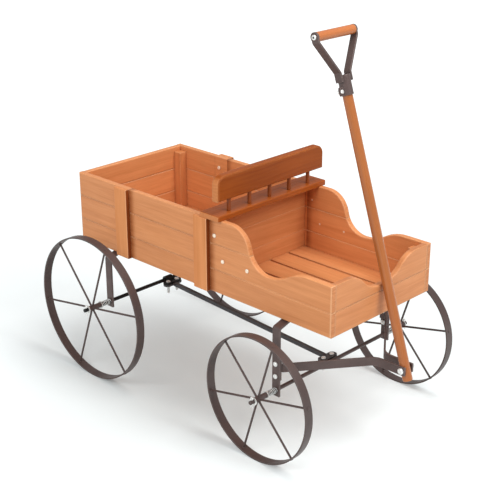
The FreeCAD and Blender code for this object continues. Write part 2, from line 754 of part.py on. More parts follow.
# ---- side boards: one outline, with the seat's shoulder and the valley, in three boards ----
def side_blank(side):
    outer = side * box_half_width
    shoulder = (seat_front_x + shoulder_run, box_top)
    valley = (shoulder[0] + valley_run, valley_z)
    hump = (valley[0] + hump_run, front_top)

    def place(p):
        return vec(p[0], outer, p[1])

    edges = [line((box_rear, box_bottom), (box_rear, box_top), place),
             line((box_rear, box_top), shoulder, place)]
    edges += s_curve(shoulder, valley, place)
    edges += s_curve(valley, hump, place)
    edges += [line(hump, (box_front, front_top), place),
              line((box_front, front_top), (box_front, box_bottom), place),
              line((box_front, box_bottom), (box_rear, box_bottom), place)]
    blank = Part.Face(Part.Wire(edges)).extrude(Y * (-side * board_thickness))
    # The outer edges are eased all round, and the inner ones along the top.
    lowest = box_bottom + cut_over
    return rounded(blank, min(board_rounding, board_thickness * rounding_share),
                   lambda e: e.BoundBox.YLength < tiny
                   and (abs(e.CenterOfMass.y - outer) < tiny or e.BoundBox.ZMin > lowest))


def screws_through(shape, screws):
    for seat, axis, length in screws:
        shape = shape.cut(rod(seat - axis, seat + axis * length, screw_radius))
    return shape


batten_screws = []
outer_screws = []
for side in (1, -1):
    for _, middle in batten_places:
        for _, low, high in bands:
            seat = vec(middle - batten_screw_setback, side * box_inner, (low + high) / 2)
            batten_screws.append((seat, Y * side, board_thickness + batten_thickness - batten_screw_cover))
    for ahead, above in side_screws:
        seat = vec(seat_front_x + ahead, side * box_half_width, seam_low + above)
        outer_screws.append((seat, Y * -side, board_thickness))

for side, side_name in side_names.items():
    grooves = [groove_x(side * box_half_width, seam, box_rear - cut_over, box_front + cut_over)
               for seam in (seam_low, seam_high)]
    mine = [s for s in batten_screws + outer_screws if s[0].y * side > 0]
    for name, board in split_boards(side_blank(side), bands, grooves).items():
        save("side_board_" + side_name + "_" + name, screws_through(board, mine))

save("batten_screws", Part.makeCompound([dome_screw(*s) for s in batten_screws]))
save("side_screws", Part.makeCompound([dome_screw(*s) for s in outer_screws]))

# ---- battens down the outside of the sides ----
for side, side_name in side_names.items():
    for place_name, middle in batten_places:
        outer = side * (box_half_width + batten_thickness)
        batten = block(middle - batten_width / 2, middle + batten_width / 2, side * box_half_width, outer,
                       box_bottom, box_top)
        batten = rounded(batten, min(board_rounding, batten_thickness * rounding_share),
                         lambda e: abs(e.CenterOfMass.y - outer) < tiny)
        mine = [s for s in batten_screws if s[0].y * side > 0 and abs(s[0].x - middle) < batten_width / 2]
        save("batten_" + side_name + "_" + place_name, screws_through(batten, mine))


# ---- end boards and divider, between the side boards ----
def cross_boards(x0, x1, low, high, outer_x):
    blank = block(x0, x1, -box_inner, box_inner, low, high)
    blank = rounded(blank, min(board_rounding, board_thickness * rounding_share),
                    lambda e: abs(e.CenterOfMass.z - high) < tiny and e.BoundBox.YLength > tiny)
    reach = box_inner + cut_over
    grooves = [groove_y(outer_x, seam, -reach, reach) for seam in (seam_low, seam_high)]
    grooves += [groove_z(outer_x, side * box_inner, low - cut_over, high + cut_over) for side in (1, -1)]
    cut_bands = [(n, max(a, low), min(b, high)) for n, a, b in bands if min(b, high) > max(a, low)]
    return split_boards(blank, cut_bands, grooves)


for name, board in cross_boards(box_rear, box_rear + board_thickness, box_bottom, box_top, box_rear).items():
    save("rear_end_board_" + name, board)

divider = cross_boards(divider_x - board_thickness, divider_x, box_bottom, box_top, divider_x)
save("divider_boards", Part.makeCompound(list(divider.values())))


def front_blank():
    # Level near the corners, with a smooth dip where the pole leans.
    half_dip = box_inner - front_dip_margin

    def place(p):
        return vec(box_front, p[0], p[1])

    edges = [line((-box_inner, box_bottom), (-box_inner, front_top), place),
             line((-box_inner, front_top), (-half_dip, front_top), place)]
    edges += s_curve((-half_dip, front_top), (-front_dip_flat, dip_z), place)
    edges.append(line((-front_dip_flat, dip_z), (front_dip_flat, dip_z), place))
    edges += s_curve((front_dip_flat, dip_z), (half_dip, front_top), place)
    edges += [line((half_dip, front_top), (box_inner, front_top), place),
              line((box_inner, front_top), (box_inner, box_bottom), place),
              line((box_inner, box_bottom), (-box_inner, box_bottom), place)]
    blank = Part.Face(Part.Wire(edges)).extrude(X * -board_thickness)
    for side in (1, -1):
        blank = blank.cut(groove_z(box_front, side * box_inner, box_bottom - cut_over, box_top + cut_over))
    lowest = box_bottom + cut_over
    return rounded(blank, min(board_rounding, board_thickness * rounding_share),
                   lambda e: e.BoundBox.XLength < tiny and e.BoundBox.ZMin > lowest)


front_grooves = [groove_y(box_front, seam_low, -box_inner - cut_over, box_inner + cut_over)]
for name, board in split_boards(front_blank(), bands[:2], front_grooves).items():
    save("front_end_board_" + name, board)

# ---- floor slats, one row behind the divider and one ahead of it ----
bracket_screws = []
for x in (rear_x, front_x):
    for y in slat_centres:
        seat = vec(x, y, box_bottom - strap_thickness)
        bracket_screws.append((seat, Z, strap_thickness + floor_thickness - floor_screw_cover))

slats = []
for start, end in ((box_rear + board_thickness, divider_x - board_thickness),
                   (divider_x, box_front - board_thickness)):
    for y in slat_centres:
        slat = block(start, end, y - slat_width / 2, y + slat_width / 2, box_bottom, floor_top)
        slats.append(screws_through(slat, bracket_screws))
save("floor_slats", Part.makeCompound(slats))
save("bracket_screws", Part.makeCompound([dome_screw(*s) for s in bracket_screws]))

# ---- corner posts inside the beds ----
posts = []
for x0, way, top in ((box_rear + board_thickness, 1, box_top), (box_front - board_thickness, -1, front_top)):
    for side in (1, -1):
        posts.append(block(x0, x0 + way * post_side, side * box_inner, side * (box_inner - post_side),
                           floor_top, top - post_below_top))
save("corner_posts", Part.makeCompound(posts))

# ---- seat board, spindles and backrest ----
spindle_x = backrest_front_x - backrest_thickness / 2
spindle_pitch = 2 * (backrest_half_width - spindle_margin) / (spindle_count - 1)
spindle_rows = [spindle_pitch * (k - (spindle_count - 1) / 2.0) for k in range(spindle_count)]
spindle_low = seat_top - spindle_socket
spindle_high = backrest_bottom + spindle_socket
sockets = [rod(vec(spindle_x, y, spindle_low), vec(spindle_x, y, spindle_high), spindle_radius + spindle_gap)
           for y in spindle_rows]

seat_half = box_half_width + seat_overhang
seat = block(seat_front_x - seat_depth, seat_front_x, -seat_half, seat_half, box_top, seat_top)
seat = rounded(seat, min(seat_rounding, seat_thickness * rounding_share),
               lambda e: e.CenterOfMass.z > box_top + tiny)
for hole in sockets:
    seat = seat.cut(hole)
save("seat_board", seat)

backrest_top = backrest_bottom + backrest_height
backrest = block(backrest_front_x - backrest_thickness, backrest_front_x,
                 -backrest_half_width, backrest_half_width, backrest_bottom, backrest_top)
backrest = rounded(backrest, min(backrest_corner, backrest_height * corner_share),
                   lambda e: e.BoundBox.XLength > tiny and abs(e.CenterOfMass.z - backrest_top) < tiny)
backrest = rounded(backrest, min(backrest_rounding, backrest_thickness * rounding_share),
                   lambda e: e.BoundBox.XLength < tiny)
for hole in sockets:
    backrest = backrest.cut(hole)
save("backrest", backrest)

spindles = [rod(vec(spindle_x, y, spindle_low + spindle_end_gap),
                vec(spindle_x, y, spindle_high - spindle_end_gap), spindle_radius) for y in spindle_rows]
save("backrest_spindles", Part.makeCompound(spindles))
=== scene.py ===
import json
import math

import bmesh
import bpy
from mathutils import Matrix, Vector


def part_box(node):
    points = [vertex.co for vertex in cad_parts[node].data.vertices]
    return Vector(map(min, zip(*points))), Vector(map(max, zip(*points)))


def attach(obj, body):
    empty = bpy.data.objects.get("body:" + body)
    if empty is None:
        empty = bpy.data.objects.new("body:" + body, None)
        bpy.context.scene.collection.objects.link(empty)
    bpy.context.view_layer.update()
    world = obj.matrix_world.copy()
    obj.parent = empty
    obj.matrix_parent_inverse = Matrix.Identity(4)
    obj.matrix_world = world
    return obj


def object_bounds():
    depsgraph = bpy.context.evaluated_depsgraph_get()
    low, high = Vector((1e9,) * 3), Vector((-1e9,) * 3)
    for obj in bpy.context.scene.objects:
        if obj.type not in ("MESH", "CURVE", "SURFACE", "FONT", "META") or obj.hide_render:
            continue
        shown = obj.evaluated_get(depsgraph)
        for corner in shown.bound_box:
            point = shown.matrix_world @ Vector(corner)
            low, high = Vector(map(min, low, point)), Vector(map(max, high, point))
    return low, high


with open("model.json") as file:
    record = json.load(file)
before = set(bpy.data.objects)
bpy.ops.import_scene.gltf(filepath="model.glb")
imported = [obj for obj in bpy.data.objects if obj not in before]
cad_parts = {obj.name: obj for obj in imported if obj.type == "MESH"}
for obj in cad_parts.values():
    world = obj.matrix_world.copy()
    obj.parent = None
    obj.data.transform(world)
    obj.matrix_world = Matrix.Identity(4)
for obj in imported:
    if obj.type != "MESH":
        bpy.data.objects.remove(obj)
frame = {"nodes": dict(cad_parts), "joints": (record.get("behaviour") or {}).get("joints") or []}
nodes = frame["nodes"]
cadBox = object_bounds()
print("frame loaded:", len(nodes), "nodes")


def middleOf(nodeName):
    return sum(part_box(nodeName), Vector()) / 2


def jointPlace(jointName):
    return next(Vector(joint["pos_m"]) for joint in frame["joints"] if joint["name"] == jointName)


# places that the finishes, the welds and the camera line up with, all read from the frame
rearAxle = middleOf("rear_axle")
frontAxle = middleOf("front_axle")
pivot = jointPlace("handle_swing")
gripMiddle = middleOf("handle_grip")
handleLean = math.atan2(pivot.x - gripMiddle.x, gripMiddle.z - pivot.z)
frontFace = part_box("side_board_left_lower")[1].x
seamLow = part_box("side_board_left_lower")[1].z
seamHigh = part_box("side_board_left_middle")[1].z


# node tree helpers
def newTree(owner):
    owner.use_nodes = True
    owner.node_tree.nodes.clear()
    return owner.node_tree


def put(tree, kind, **settings):
    node = tree.nodes.new(kind)
    for key, value in settings.items():
        setattr(node, key, value)
    return node


def feed(tree, target, socket, value):
    # a value is either a plain number, colour or vector, or another node's output
    if isinstance(value, bpy.types.NodeSocket):
        tree.links.new(value, target.inputs[socket])
    else:
        target.inputs[socket].default_value = value


def math2(tree, operation, a, b=0.0, clamp=False):
    node = put(tree, "ShaderNodeMath", operation=operation, use_clamp=clamp)
    feed(tree, node, 0, a)
    feed(tree, node, 1, b)
    return node.outputs[0]


def addShare(tree, a, b, share):
    return math2(tree, "ADD", a, math2(tree, "MULTIPLY", b, share))


def remap(tree, value, low, high, newLow=0.0, newHigh=1.0, smooth=False):
    node = put(tree, "ShaderNodeMapRange", clamp=True)
    if smooth:
        node.interpolation_type = "SMOOTHSTEP"
    feed(tree, node, "Value", value)
    feed(tree, node, "From Min", low)
    feed(tree, node, "From Max", high)
    feed(tree, node, "To Min", newLow)
    feed(tree, node, "To Max", newHigh)
    return node.outputs["Result"]


def mixColour(tree, factor, a, b):
    node = put(tree, "ShaderNodeMix", data_type="RGBA", blend_type="MIX")
    feed(tree, node, 0, factor)
    feed(tree, node, 6, a)
    feed(tree, node, 7, b)
    return node.outputs[2]


def tint(tree, colour, other, mask, share):
    # another colour over this one, as strong as the mask times the share
    return mixColour(tree, math2(tree, "MULTIPLY", mask, share), colour, other)


def toned(colour, tone):
    return tuple(min(1.0, part * tone) for part in colour[:3]) + (1,)


def noise(tree, vector, scale, detail, rough, distortion=0.0):
    node = put(tree, "ShaderNodeTexNoise", noise_dimensions="3D")
    feed(tree, node, "Vector", vector)
    feed(tree, node, "Scale", scale)
    feed(tree, node, "Detail", detail)
    feed(tree, node, "Roughness", rough)
    feed(tree, node, "Distortion", distortion)
    return node.outputs["Fac"]


def stretch(tree, vector, scale):
    node = put(tree, "ShaderNodeMapping", vector_type="POINT")
    feed(tree, node, "Vector", vector)
    feed(tree, node, "Scale", scale)
    return node.outputs["Vector"]


def splitVector(tree, vector):
    node = put(tree, "ShaderNodeSeparateXYZ")
    feed(tree, node, 0, vector)
    return node.outputs


def joinVector(tree, x, y, z):
    node = put(tree, "ShaderNodeCombineXYZ")
    for k, value in enumerate((x, y, z)):
        feed(tree, node, k, value)
    return node.outputs[0]


def objectPlace(tree):
    return put(tree, "ShaderNodeTexCoord").outputs["Object"]


def facingParts(tree):
    # X, Y and Z of the way that the surface faces
    return splitVector(tree, put(tree, "ShaderNodeNewGeometry").outputs["True Normal"])


def addSocket(group, name, out=False, kind="NodeSocketFloat", value=None, low=None, high=None):
    socket = group.interface.new_socket(name=name, in_out="OUTPUT" if out else "INPUT", socket_type=kind)
    if value is not None:
        socket.default_value = value
    if low is not None:
        socket.min_value = low
    if high is not None:
        socket.max_value = high


def groupEnds(group):
    return put(group, "NodeGroupInput").outputs, put(group, "NodeGroupOutput")


def useGroup(tree, group, **inputs):
    node = put(tree, "ShaderNodeGroup")
    node.node_tree = group
    node.label = group.name
    for name, value in inputs.items():
        feed(tree, node, name, value)
    return node.outputs


def newMaterial(name):
    # a material with its own Principled shader
    material = bpy.data.materials.new(name)
    tree = newTree(material)
    out = put(tree, "ShaderNodeOutputMaterial")
    shader = put(tree, "ShaderNodeBsdfPrincipled")
    tree.links.new(shader.outputs[0], out.inputs["Surface"])
    return material, tree, shader


def addBump(tree, shader, height, softNormal, strength, depth):
    bump = put(tree, "ShaderNodeBump")
    bump.inputs["Strength"].default_value = strength
    bump.inputs["Distance"].default_value = depth
    feed(tree, bump, "Height", height)
    feed(tree, bump, "Normal", softNormal)
    feed(tree, shader, "Normal", bump.outputs[0])


grainPattern = {
    # repeats in a metre along the grain, across it and through the board; detail, roughness, distortion
    "wander": ((3.0, 15.0, 15.0), 2.0, 0.50, 0.0),
    "ripple": ((11.0, 70.0, 70.0), 3.0, 0.55, 0.0),
    "fade": ((5.0, 26.0, 26.0), 2.0, 0.50, 0.0),
    "streaks": ((6.0, 105.0, 105.0), 4.0, 0.60, 0.4),
    "fibre": ((24.0, 620.0, 620.0), 3.0, 0.62, 0.0),
    "blotch": ((8.0, 19.0, 19.0), 4.0, 0.60, 0.3),
    "sawTicks": ((60.0, 420.0, 90.0), 2.0, 0.60, 0.0),
}
ringShape = {
    # metres: depth of the log's heart below the face, how far the rings stray sideways and in depth,
    # how much they ripple, and how far a knot pushes them aside
    "heartDepth": 0.050, "strayAside": 0.034, "strayDeep": 0.026, "ripple": 0.0075, "knotPush": 0.014,
    # the heart's slope along the board, and the least strength of a ring
    "slope": 0.05, "faintest": 0.15,
}
knotShape = {
    # cells in a metre as in the patterns, their unevenness, and how many of them hold a knot
    "cells": (5.2, 9.5, 9.5), "uneven": 0.9, "share": 0.25,
    # where the wood round a knot and the knot itself start and end to fade, in cells
    "near": (0.02, 0.34), "heart": (0.015, 0.06),
}
grainRelief = {
    # how much the rings and the fibre stand up, and how much a knot lies lower
    "rings": 0.4, "fibre": 0.8, "knot": 0.6,
}


def grainNoise(tree, space, pattern):
    scale, detail, rough, distortion = grainPattern[pattern]
    return noise(tree, stretch(tree, space, scale), 1.0, detail, rough, distortion)


def knotMasks(tree, space, amount):
    # sparse round spots: the wood near a knot, where it pushes the rings aside, and the knot itself
    cells = put(tree, "ShaderNodeTexVoronoi", feature="F1", voronoi_dimensions="3D")
    feed(tree, cells, "Vector", stretch(tree, space, knotShape["cells"]))
    feed(tree, cells, "Scale", 1.0)
    feed(tree, cells, "Randomness", knotShape["uneven"])
    rare = splitVector(tree, cells.outputs["Color"])[0]
    chosen = math2(tree, "LESS_THAN", rare, math2(tree, "MULTIPLY", amount, knotShape["share"]))
    near = remap(tree, cells.outputs["Distance"], *knotShape["near"], 1.0, 0.0, smooth=True)
    heart = remap(tree, cells.outputs["Distance"], *knotShape["heart"], 1.0, 0.0, smooth=True)
    return math2(tree, "MULTIPLY", near, chosen), math2(tree, "MULTIPLY", heart, chosen)


def ringMask(tree, space, near, gap):
    # dark late wood of the rings, counted by the distance from the log's heart
    wander = math2(tree, "SUBTRACT", grainNoise(tree, space, "wander"), 0.5)
    ripple = math2(tree, "SUBTRACT", grainNoise(tree, space, "ripple"), 0.5)
    x, y, z = splitVector(tree, space)
    side = addShare(tree, y, wander, ringShape["strayAside"])
    depth = addShare(tree, math2(tree, "ADD", z, ringShape["heartDepth"]), x, ringShape["slope"])
    depth = addShare(tree, depth, wander, ringShape["strayDeep"])
    radius = put(tree, "ShaderNodeVectorMath", operation="LENGTH")
    feed(tree, radius, 0, joinVector(tree, 0.0, side, depth))
    radius = addShare(tree, radius.outputs["Value"], ripple, ringShape["ripple"])
    radius = addShare(tree, radius, near, ringShape["knotPush"])
    turn = math2(tree, "DIVIDE", radius, gap)
    early = math2(tree, "FRACT", turn)
    rise = remap(tree, early, 0.05, 0.80, smooth=True)
    fall = remap(tree, early, 0.84, 1.0, 1.0, 0.0, smooth=True)
    late = math2(tree, "MULTIPLY", rise, fall)
    # rings differ from year to year, and fade in places
    year = put(tree, "ShaderNodeTexWhiteNoise", noise_dimensions="1D")
    feed(tree, year, "W", math2(tree, "FLOOR", turn))
    strength = remap(tree, year.outputs["Value"], 0.0, 1.0, ringShape["faintest"], 1.0)
    late = math2(tree, "MULTIPLY", late, strength)
    fade = remap(tree, grainNoise(tree, space, "fade"), 0.36, 0.64, ringShape["faintest"], 1.0)
    return math2(tree, "MULTIPLY", late, fade)


# effects that several finishes share
def makeWoodGrain():
    # Board cut from a log: growth rings round an axis that lies along X, below the board's face.
    # The coordinates are metres with X along the grain, Y across it and Z through the thickness.
    tree = bpy.data.node_groups.new("woodGrain", "ShaderNodeTree")
    addSocket(tree, "Grain Space", kind="NodeSocketVector")
    addSocket(tree, "Ring Gap", value=0.009, low=0.001, high=0.05)
    addSocket(tree, "Knots", value=0.5, low=0.0, high=1.0)
    for name in ("Rings", "Streaks", "Fibre", "Knot", "Blotch", "Height"):
        addSocket(tree, name, out=True)
    inside, out = groupEnds(tree)
    space = inside["Grain Space"]

    near, heart = knotMasks(tree, space, inside["Knots"])
    late = ringMask(tree, space, near, inside["Ring Gap"])
    fibre = grainNoise(tree, space, "fibre")
    height = math2(tree, "MULTIPLY", late, grainRelief["rings"])
    height = addShare(tree, height, fibre, grainRelief["fibre"])
    height = math2(tree, "SUBTRACT", height, math2(tree, "MULTIPLY", heart, grainRelief["knot"]))
    feed(tree, out, "Rings", late)
    feed(tree, out, "Streaks", remap(tree, grainNoise(tree, space, "streaks"), 0.38, 0.66))
    feed(tree, out, "Fibre", fibre)
    feed(tree, out, "Knot", heart)
    feed(tree, out, "Blotch", remap(tree, grainNoise(tree, space, "blotch"), 0.36, 0.66))
    feed(tree, out, "Height", height)
    return tree


def makeStainBand():
    # 1 at a given place along one axis, fading to each side over its own width
    tree = bpy.data.node_groups.new("stainBand", "ShaderNodeTree")
    addSocket(tree, "Along", value=0.0)
    addSocket(tree, "Middle", value=0.0)
    addSocket(tree, "Below", value=0.002)
    addSocket(tree, "Above", value=0.002)
    addSocket(tree, "Band", out=True)
    inside, out = groupEnds(tree)
    away = math2(tree, "SUBTRACT", inside["Along"], inside["Middle"])
    over = math2(tree, "DIVIDE", away, inside["Above"])
    under = math2(tree, "DIVIDE", math2(tree, "MULTIPLY", away, -1.0), inside["Below"])
    reach = math2(tree, "MAXIMUM", over, under)
    feed(tree, out, "Band", remap(tree, reach, 0.0, 1.0, 1.0, 0.0, smooth=True))
    return tree


def makeEdgeMask():
    # 1 on outer edges, which are painted lighter: finish rubbed thin, and a painted highlight; 0 on the
    # flats
    tree = bpy.data.node_groups.new("edgeMask", "ShaderNodeTree")
    addSocket(tree, "Width", value=0.001)
    addSocket(tree, "Patchiness", value=0.5)
    addSocket(tree, "Edge", out=True)
    addSocket(tree, "Soft Normal", out=True, kind="NodeSocketVector")
    inside, out = groupEnds(tree)
    bevel = put(tree, "ShaderNodeBevel", samples=6)
    feed(tree, bevel, "Radius", inside["Width"])
    dot = put(tree, "ShaderNodeVectorMath", operation="DOT_PRODUCT")
    feed(tree, dot, 0, bevel.outputs["Normal"])
    feed(tree, dot, 1, put(tree, "ShaderNodeNewGeometry").outputs["True Normal"])
    edge = remap(tree, dot.outputs["Value"], 0.995, 0.80)
    patches = noise(tree, objectPlace(tree), 120.0, 3.0, 0.6)
    keep = remap(tree, patches, 0.35, 0.6, math2(tree, "SUBTRACT", 1.0, inside["Patchiness"]), 1.0)
    feed(tree, out, "Edge", math2(tree, "MULTIPLY", edge, keep))
    feed(tree, out, "Soft Normal", bevel.outputs["Normal"])
    return tree


def makeCornerShade():
    # painted shade: 1 deep in corners and joints, where shade falls
    tree = bpy.data.node_groups.new("cornerShade", "ShaderNodeTree")
    addSocket(tree, "Reach", value=0.008)
    addSocket(tree, "PaintedCornerShade", out=True)
    inside, out = groupEnds(tree)
    hidden = put(tree, "ShaderNodeAmbientOcclusion", samples=8)
    feed(tree, hidden, "Distance", inside["Reach"])
    feed(tree, out, "PaintedCornerShade", remap(tree, hidden.outputs["AO"], 0.35, 0.95, 1.0, 0.0))
    return tree


woodGrain = makeWoodGrain()
stainBand = makeStainBand()
edgeMask = makeEdgeMask()
cornerShade = makeCornerShade()
print("shared effects made")


# stains, one for each kind of wood
# in each stain, the pooled colour also paints shade in corners and the shadow beside the battens, the rubbed
# colour paints worn edges and highlights, and the board's groove colour paints light into the seams' grooves
boardStain = {
    "light": (0.745, 0.305, 0.118, 1),
    "dark": (0.500, 0.160, 0.046, 1),
    "sawn": (0.500, 0.160, 0.046, 1),
    "sawnShare": (0.10, 0.62),
    "knot": (0.230, 0.065, 0.020, 1),
    "pooled": (0.215, 0.042, 0.006, 1),
    "rubbed": (0.900, 0.520, 0.290, 1),
    "groove": (0.880, 0.380, 0.130, 1),
    "ringGap": 0.0100,
    "gloss": 0.44,
}
seatStain = {
    "light": (0.340, 0.078, 0.010, 1),
    "dark": (0.190, 0.034, 0.003, 1),
    "sawn": (0.640, 0.240, 0.085, 1),
    "sawnShare": (0.72, 0.88),
    "knot": (0.150, 0.035, 0.010, 1),
    "pooled": (0.200, 0.036, 0.005, 1),
    "rubbed": (0.800, 0.380, 0.170, 1),
    "ringGap": 0.0062,
    "gloss": 0.38,
}
poleStain = {
    "light": (0.455, 0.150, 0.042, 1),
    "dark": (0.300, 0.078, 0.016, 1),
    "sawn": (0.300, 0.078, 0.016, 1),
    "sawnShare": (0.10, 0.62),
    "knot": (0.200, 0.050, 0.015, 1),
    "pooled": (0.200, 0.045, 0.010, 1),
    "rubbed": (0.820, 0.440, 0.240, 1),
    "ringGap": 0.0050,
    "gloss": 0.26,
}
gripStain = {
    "light": (0.535, 0.170, 0.050, 1),
    "dark": (0.400, 0.115, 0.036, 1),
    "sawn": (0.460, 0.150, 0.055, 1),
    "sawnShare": (0.10, 0.62),
    "knot": (0.200, 0.050, 0.015, 1),
    "pooled": (0.240, 0.070, 0.020, 1),
    "rubbed": (0.860, 0.520, 0.300, 1),
    "ringGap": 0.0050,
    "gloss": 0.32,
}
grainTurn = {
    # which axes of the cart the grain space's X, Y and Z follow
    "alongX": (0, 2, 1),
    "alongY": (1, 2, 0),
    "alongZ": (2, 0, 1),
    "flatX": (0, 1, 2),
    "flatY": (1, 0, 2),
}
boardShift = {
    # how far apart in the log the boards of one node are cut: along the grain and across it
    "along": 0.37, "across": 0.013,
}


def grainSpace(tree, layout, seed, lean=0.0, cells=None):
    # object coordinates, turned so that X runs along the grain, and shifted to another part of the log
    place = objectPlace(tree)
    if lean:
        turn = put(tree, "ShaderNodeVectorRotate", rotation_type="Y_AXIS")
        feed(tree, turn, "Vector", place)
        feed(tree, turn, "Center", tuple(pivot))
        feed(tree, turn, "Angle", lean)
        place = turn.outputs[0]
    parts = splitVector(tree, place)
    x, y, z = (parts[k] for k in grainTurn[layout])
    if cells:
        # several boards in one node: each band of the cart's own axis is another board
        axis, starts = cells
        index = 0.0
        for start in starts:
            index = math2(tree, "ADD", math2(tree, "GREATER_THAN", parts[axis], start), index)
        x = addShare(tree, x, index, boardShift["along"])
        y = addShare(tree, y, index, boardShift["across"])
    shifted = put(tree, "ShaderNodeVectorMath", operation="ADD")
    feed(tree, shifted, 0, joinVector(tree, x, y, z))
    start = (math.sin(seed * 12.9) * 0.9, math.sin(seed * 4.7) * 0.022, math.cos(seed * 7.3) * 0.010)
    feed(tree, shifted, 1, start)
    return shifted.outputs[0]


def bandAt(tree, along, middle, below, above):
    return useGroup(tree, stainBand, Along=along, Middle=middle, Below=below, Above=above)["Band"]


woodEffect = {
    # how strongly each effect shows in the colour
    "rings": 0.30, "streaks": 0.30, "fibre": 0.16, "blotch": 0.24, "knot": 0.70, "corner": 0.22,
    # metres that the painted corner shade reaches, how fast it fades, and the patchiness of a rubbed edge,
    # painted lighter as wear and painted highlight
    "cornerReach": 0.006, "cornerFade": 1.8, "edgePatches": 0.25,
    # roughness of the clear coat, strength and depth of the grain's relief
    "coatRough": 0.22, "relief": 0.30, "reliefDepth": 0.00030,
}


def woodColour(tree, stain, grain, tone):
    dark = toned(stain["dark"], tone)
    share = math2(tree, "MULTIPLY", grain["Rings"], woodEffect["rings"])
    share = addShare(tree, share, grain["Streaks"], woodEffect["streaks"])
    fibre = remap(tree, grain["Fibre"], 0.38, 0.64, 0.0, woodEffect["fibre"])
    share = math2(tree, "ADD", share, fibre, clamp=True)
    colour = mixColour(tree, share, toned(stain["light"], tone), dark)
    colour = tint(tree, colour, dark, grain["Blotch"], woodEffect["blotch"])
    return tint(tree, colour, stain["knot"], grain["Knot"], woodEffect["knot"])


def tintSawnEnds(tree, colour, stain, space, axis):
    # sawn ends take up more stain than the planed faces, and keep the saw's fine ticks
    along = math2(tree, "ABSOLUTE", facingParts(tree)[axis])
    sawn = remap(tree, along, 0.55, 0.95)
    ticks = remap(tree, grainNoise(tree, space, "sawTicks"), 0.42, 0.60, *stain["sawnShare"])
    return tint(tree, colour, stain["sawn"], sawn, ticks)


def tintSides(tree, colour, stain, stainedAndShadedSides):
    # a sawn side painted darker: stain that stayed in it, and painted shade
    facing = facingParts(tree)
    for axis, way, amount in stainedAndShadedSides:
        turned = math2(tree, "MULTIPLY", facing[axis], way)
        colour = mixColour(tree, remap(tree, turned, 0.6, 0.95, 0.0, amount), colour, stain["pooled"])
    return colour


seamStain = {
    # darkness of the seams, and how far it spreads to each side
    "amount": 0.44, "spread": 0.0027,
    # along the sides, a seam fades from the first of these places to the second, down to this share
    "end": (0.050, 0.125), "leftAtFront": 0.12,
}


def tintBands(tree, colour, stain, streaks, bands, seamEnd):
    # stain pooled along the seams, and painted shadow beside the battens
    parts = splitVector(tree, objectPlace(tree))
    patchy = remap(tree, streaks, 0.0, 1.0, 0.75, 1.0)
    if seamEnd:
        # the seams close up towards the front of the sides
        seamKeep = remap(tree, parts[0], *seamEnd, 1.0, seamStain["leftAtFront"], smooth=True)
    for axis, middle, below, above, amount in bands:
        band = bandAt(tree, parts[axis], middle, below, above)
        band = math2(tree, "MULTIPLY", math2(tree, "MULTIPLY", band, amount), patchy)
        if seamEnd and axis == 2:
            band = math2(tree, "MULTIPLY", band, seamKeep)
        colour = mixColour(tree, band, colour, stain["pooled"])
    return colour


grooveLight = {
    # half width of the painted light in a seam's groove, and how strong it is at the back and at the front
    "reach": 0.0012, "behind": 0.25, "atFront": 0.70,
}


def paintGrooveLight(tree, colour, stain, corner, grooves, seamEnd):
    # painted light inside the fine groove between two boards, lifting its shade, but not on a board's top;
    # the painted corner shade is taken out there too
    parts = splitVector(tree, objectPlace(tree))
    grooveLift = 0.0
    for level in grooves:
        line = bandAt(tree, parts[2], level, grooveLight["reach"], grooveLight["reach"])
        grooveLift = math2(tree, "MAXIMUM", line, grooveLift)
    upright = remap(tree, math2(tree, "ABSOLUTE", facingParts(tree)[2]), 0.85, 0.95, 1.0, 0.0)
    grooveLift = math2(tree, "MULTIPLY", grooveLift, upright)
    corner = math2(tree, "MULTIPLY", corner, math2(tree, "SUBTRACT", 1.0, grooveLift, clamp=True))
    share = grooveLight["behind"]
    if seamEnd:
        share = remap(tree, parts[0], *seamEnd, share, grooveLight["atFront"], smooth=True)
    return tint(tree, colour, stain["groove"], grooveLift, share), corner


paleEdge = {
    # painted highlight down the upright edges: how strong, width on a side board and on a batten, and how
    # far a side board's line stands back from its front face
    "amount": 0.70, "boardWidth": 0.0028, "battenWidth": 0.0022, "standBack": 0.0003,
}


def paintEdgeHighlights(tree, colour, stain, paleEdges):
    # a painted highlight line down each upright edge of a side, given by its X and by the width of its line
    parts = splitVector(tree, objectPlace(tree))
    facing = facingParts(tree)
    for middle, width in paleEdges:
        band = bandAt(tree, parts[0], middle, width, width)
        outward = remap(tree, math2(tree, "ABSOLUTE", facing[1]), 0.5, 0.9, 0.0, paleEdge["amount"])
        colour = tint(tree, colour, stain["rubbed"], band, outward)
    return colour


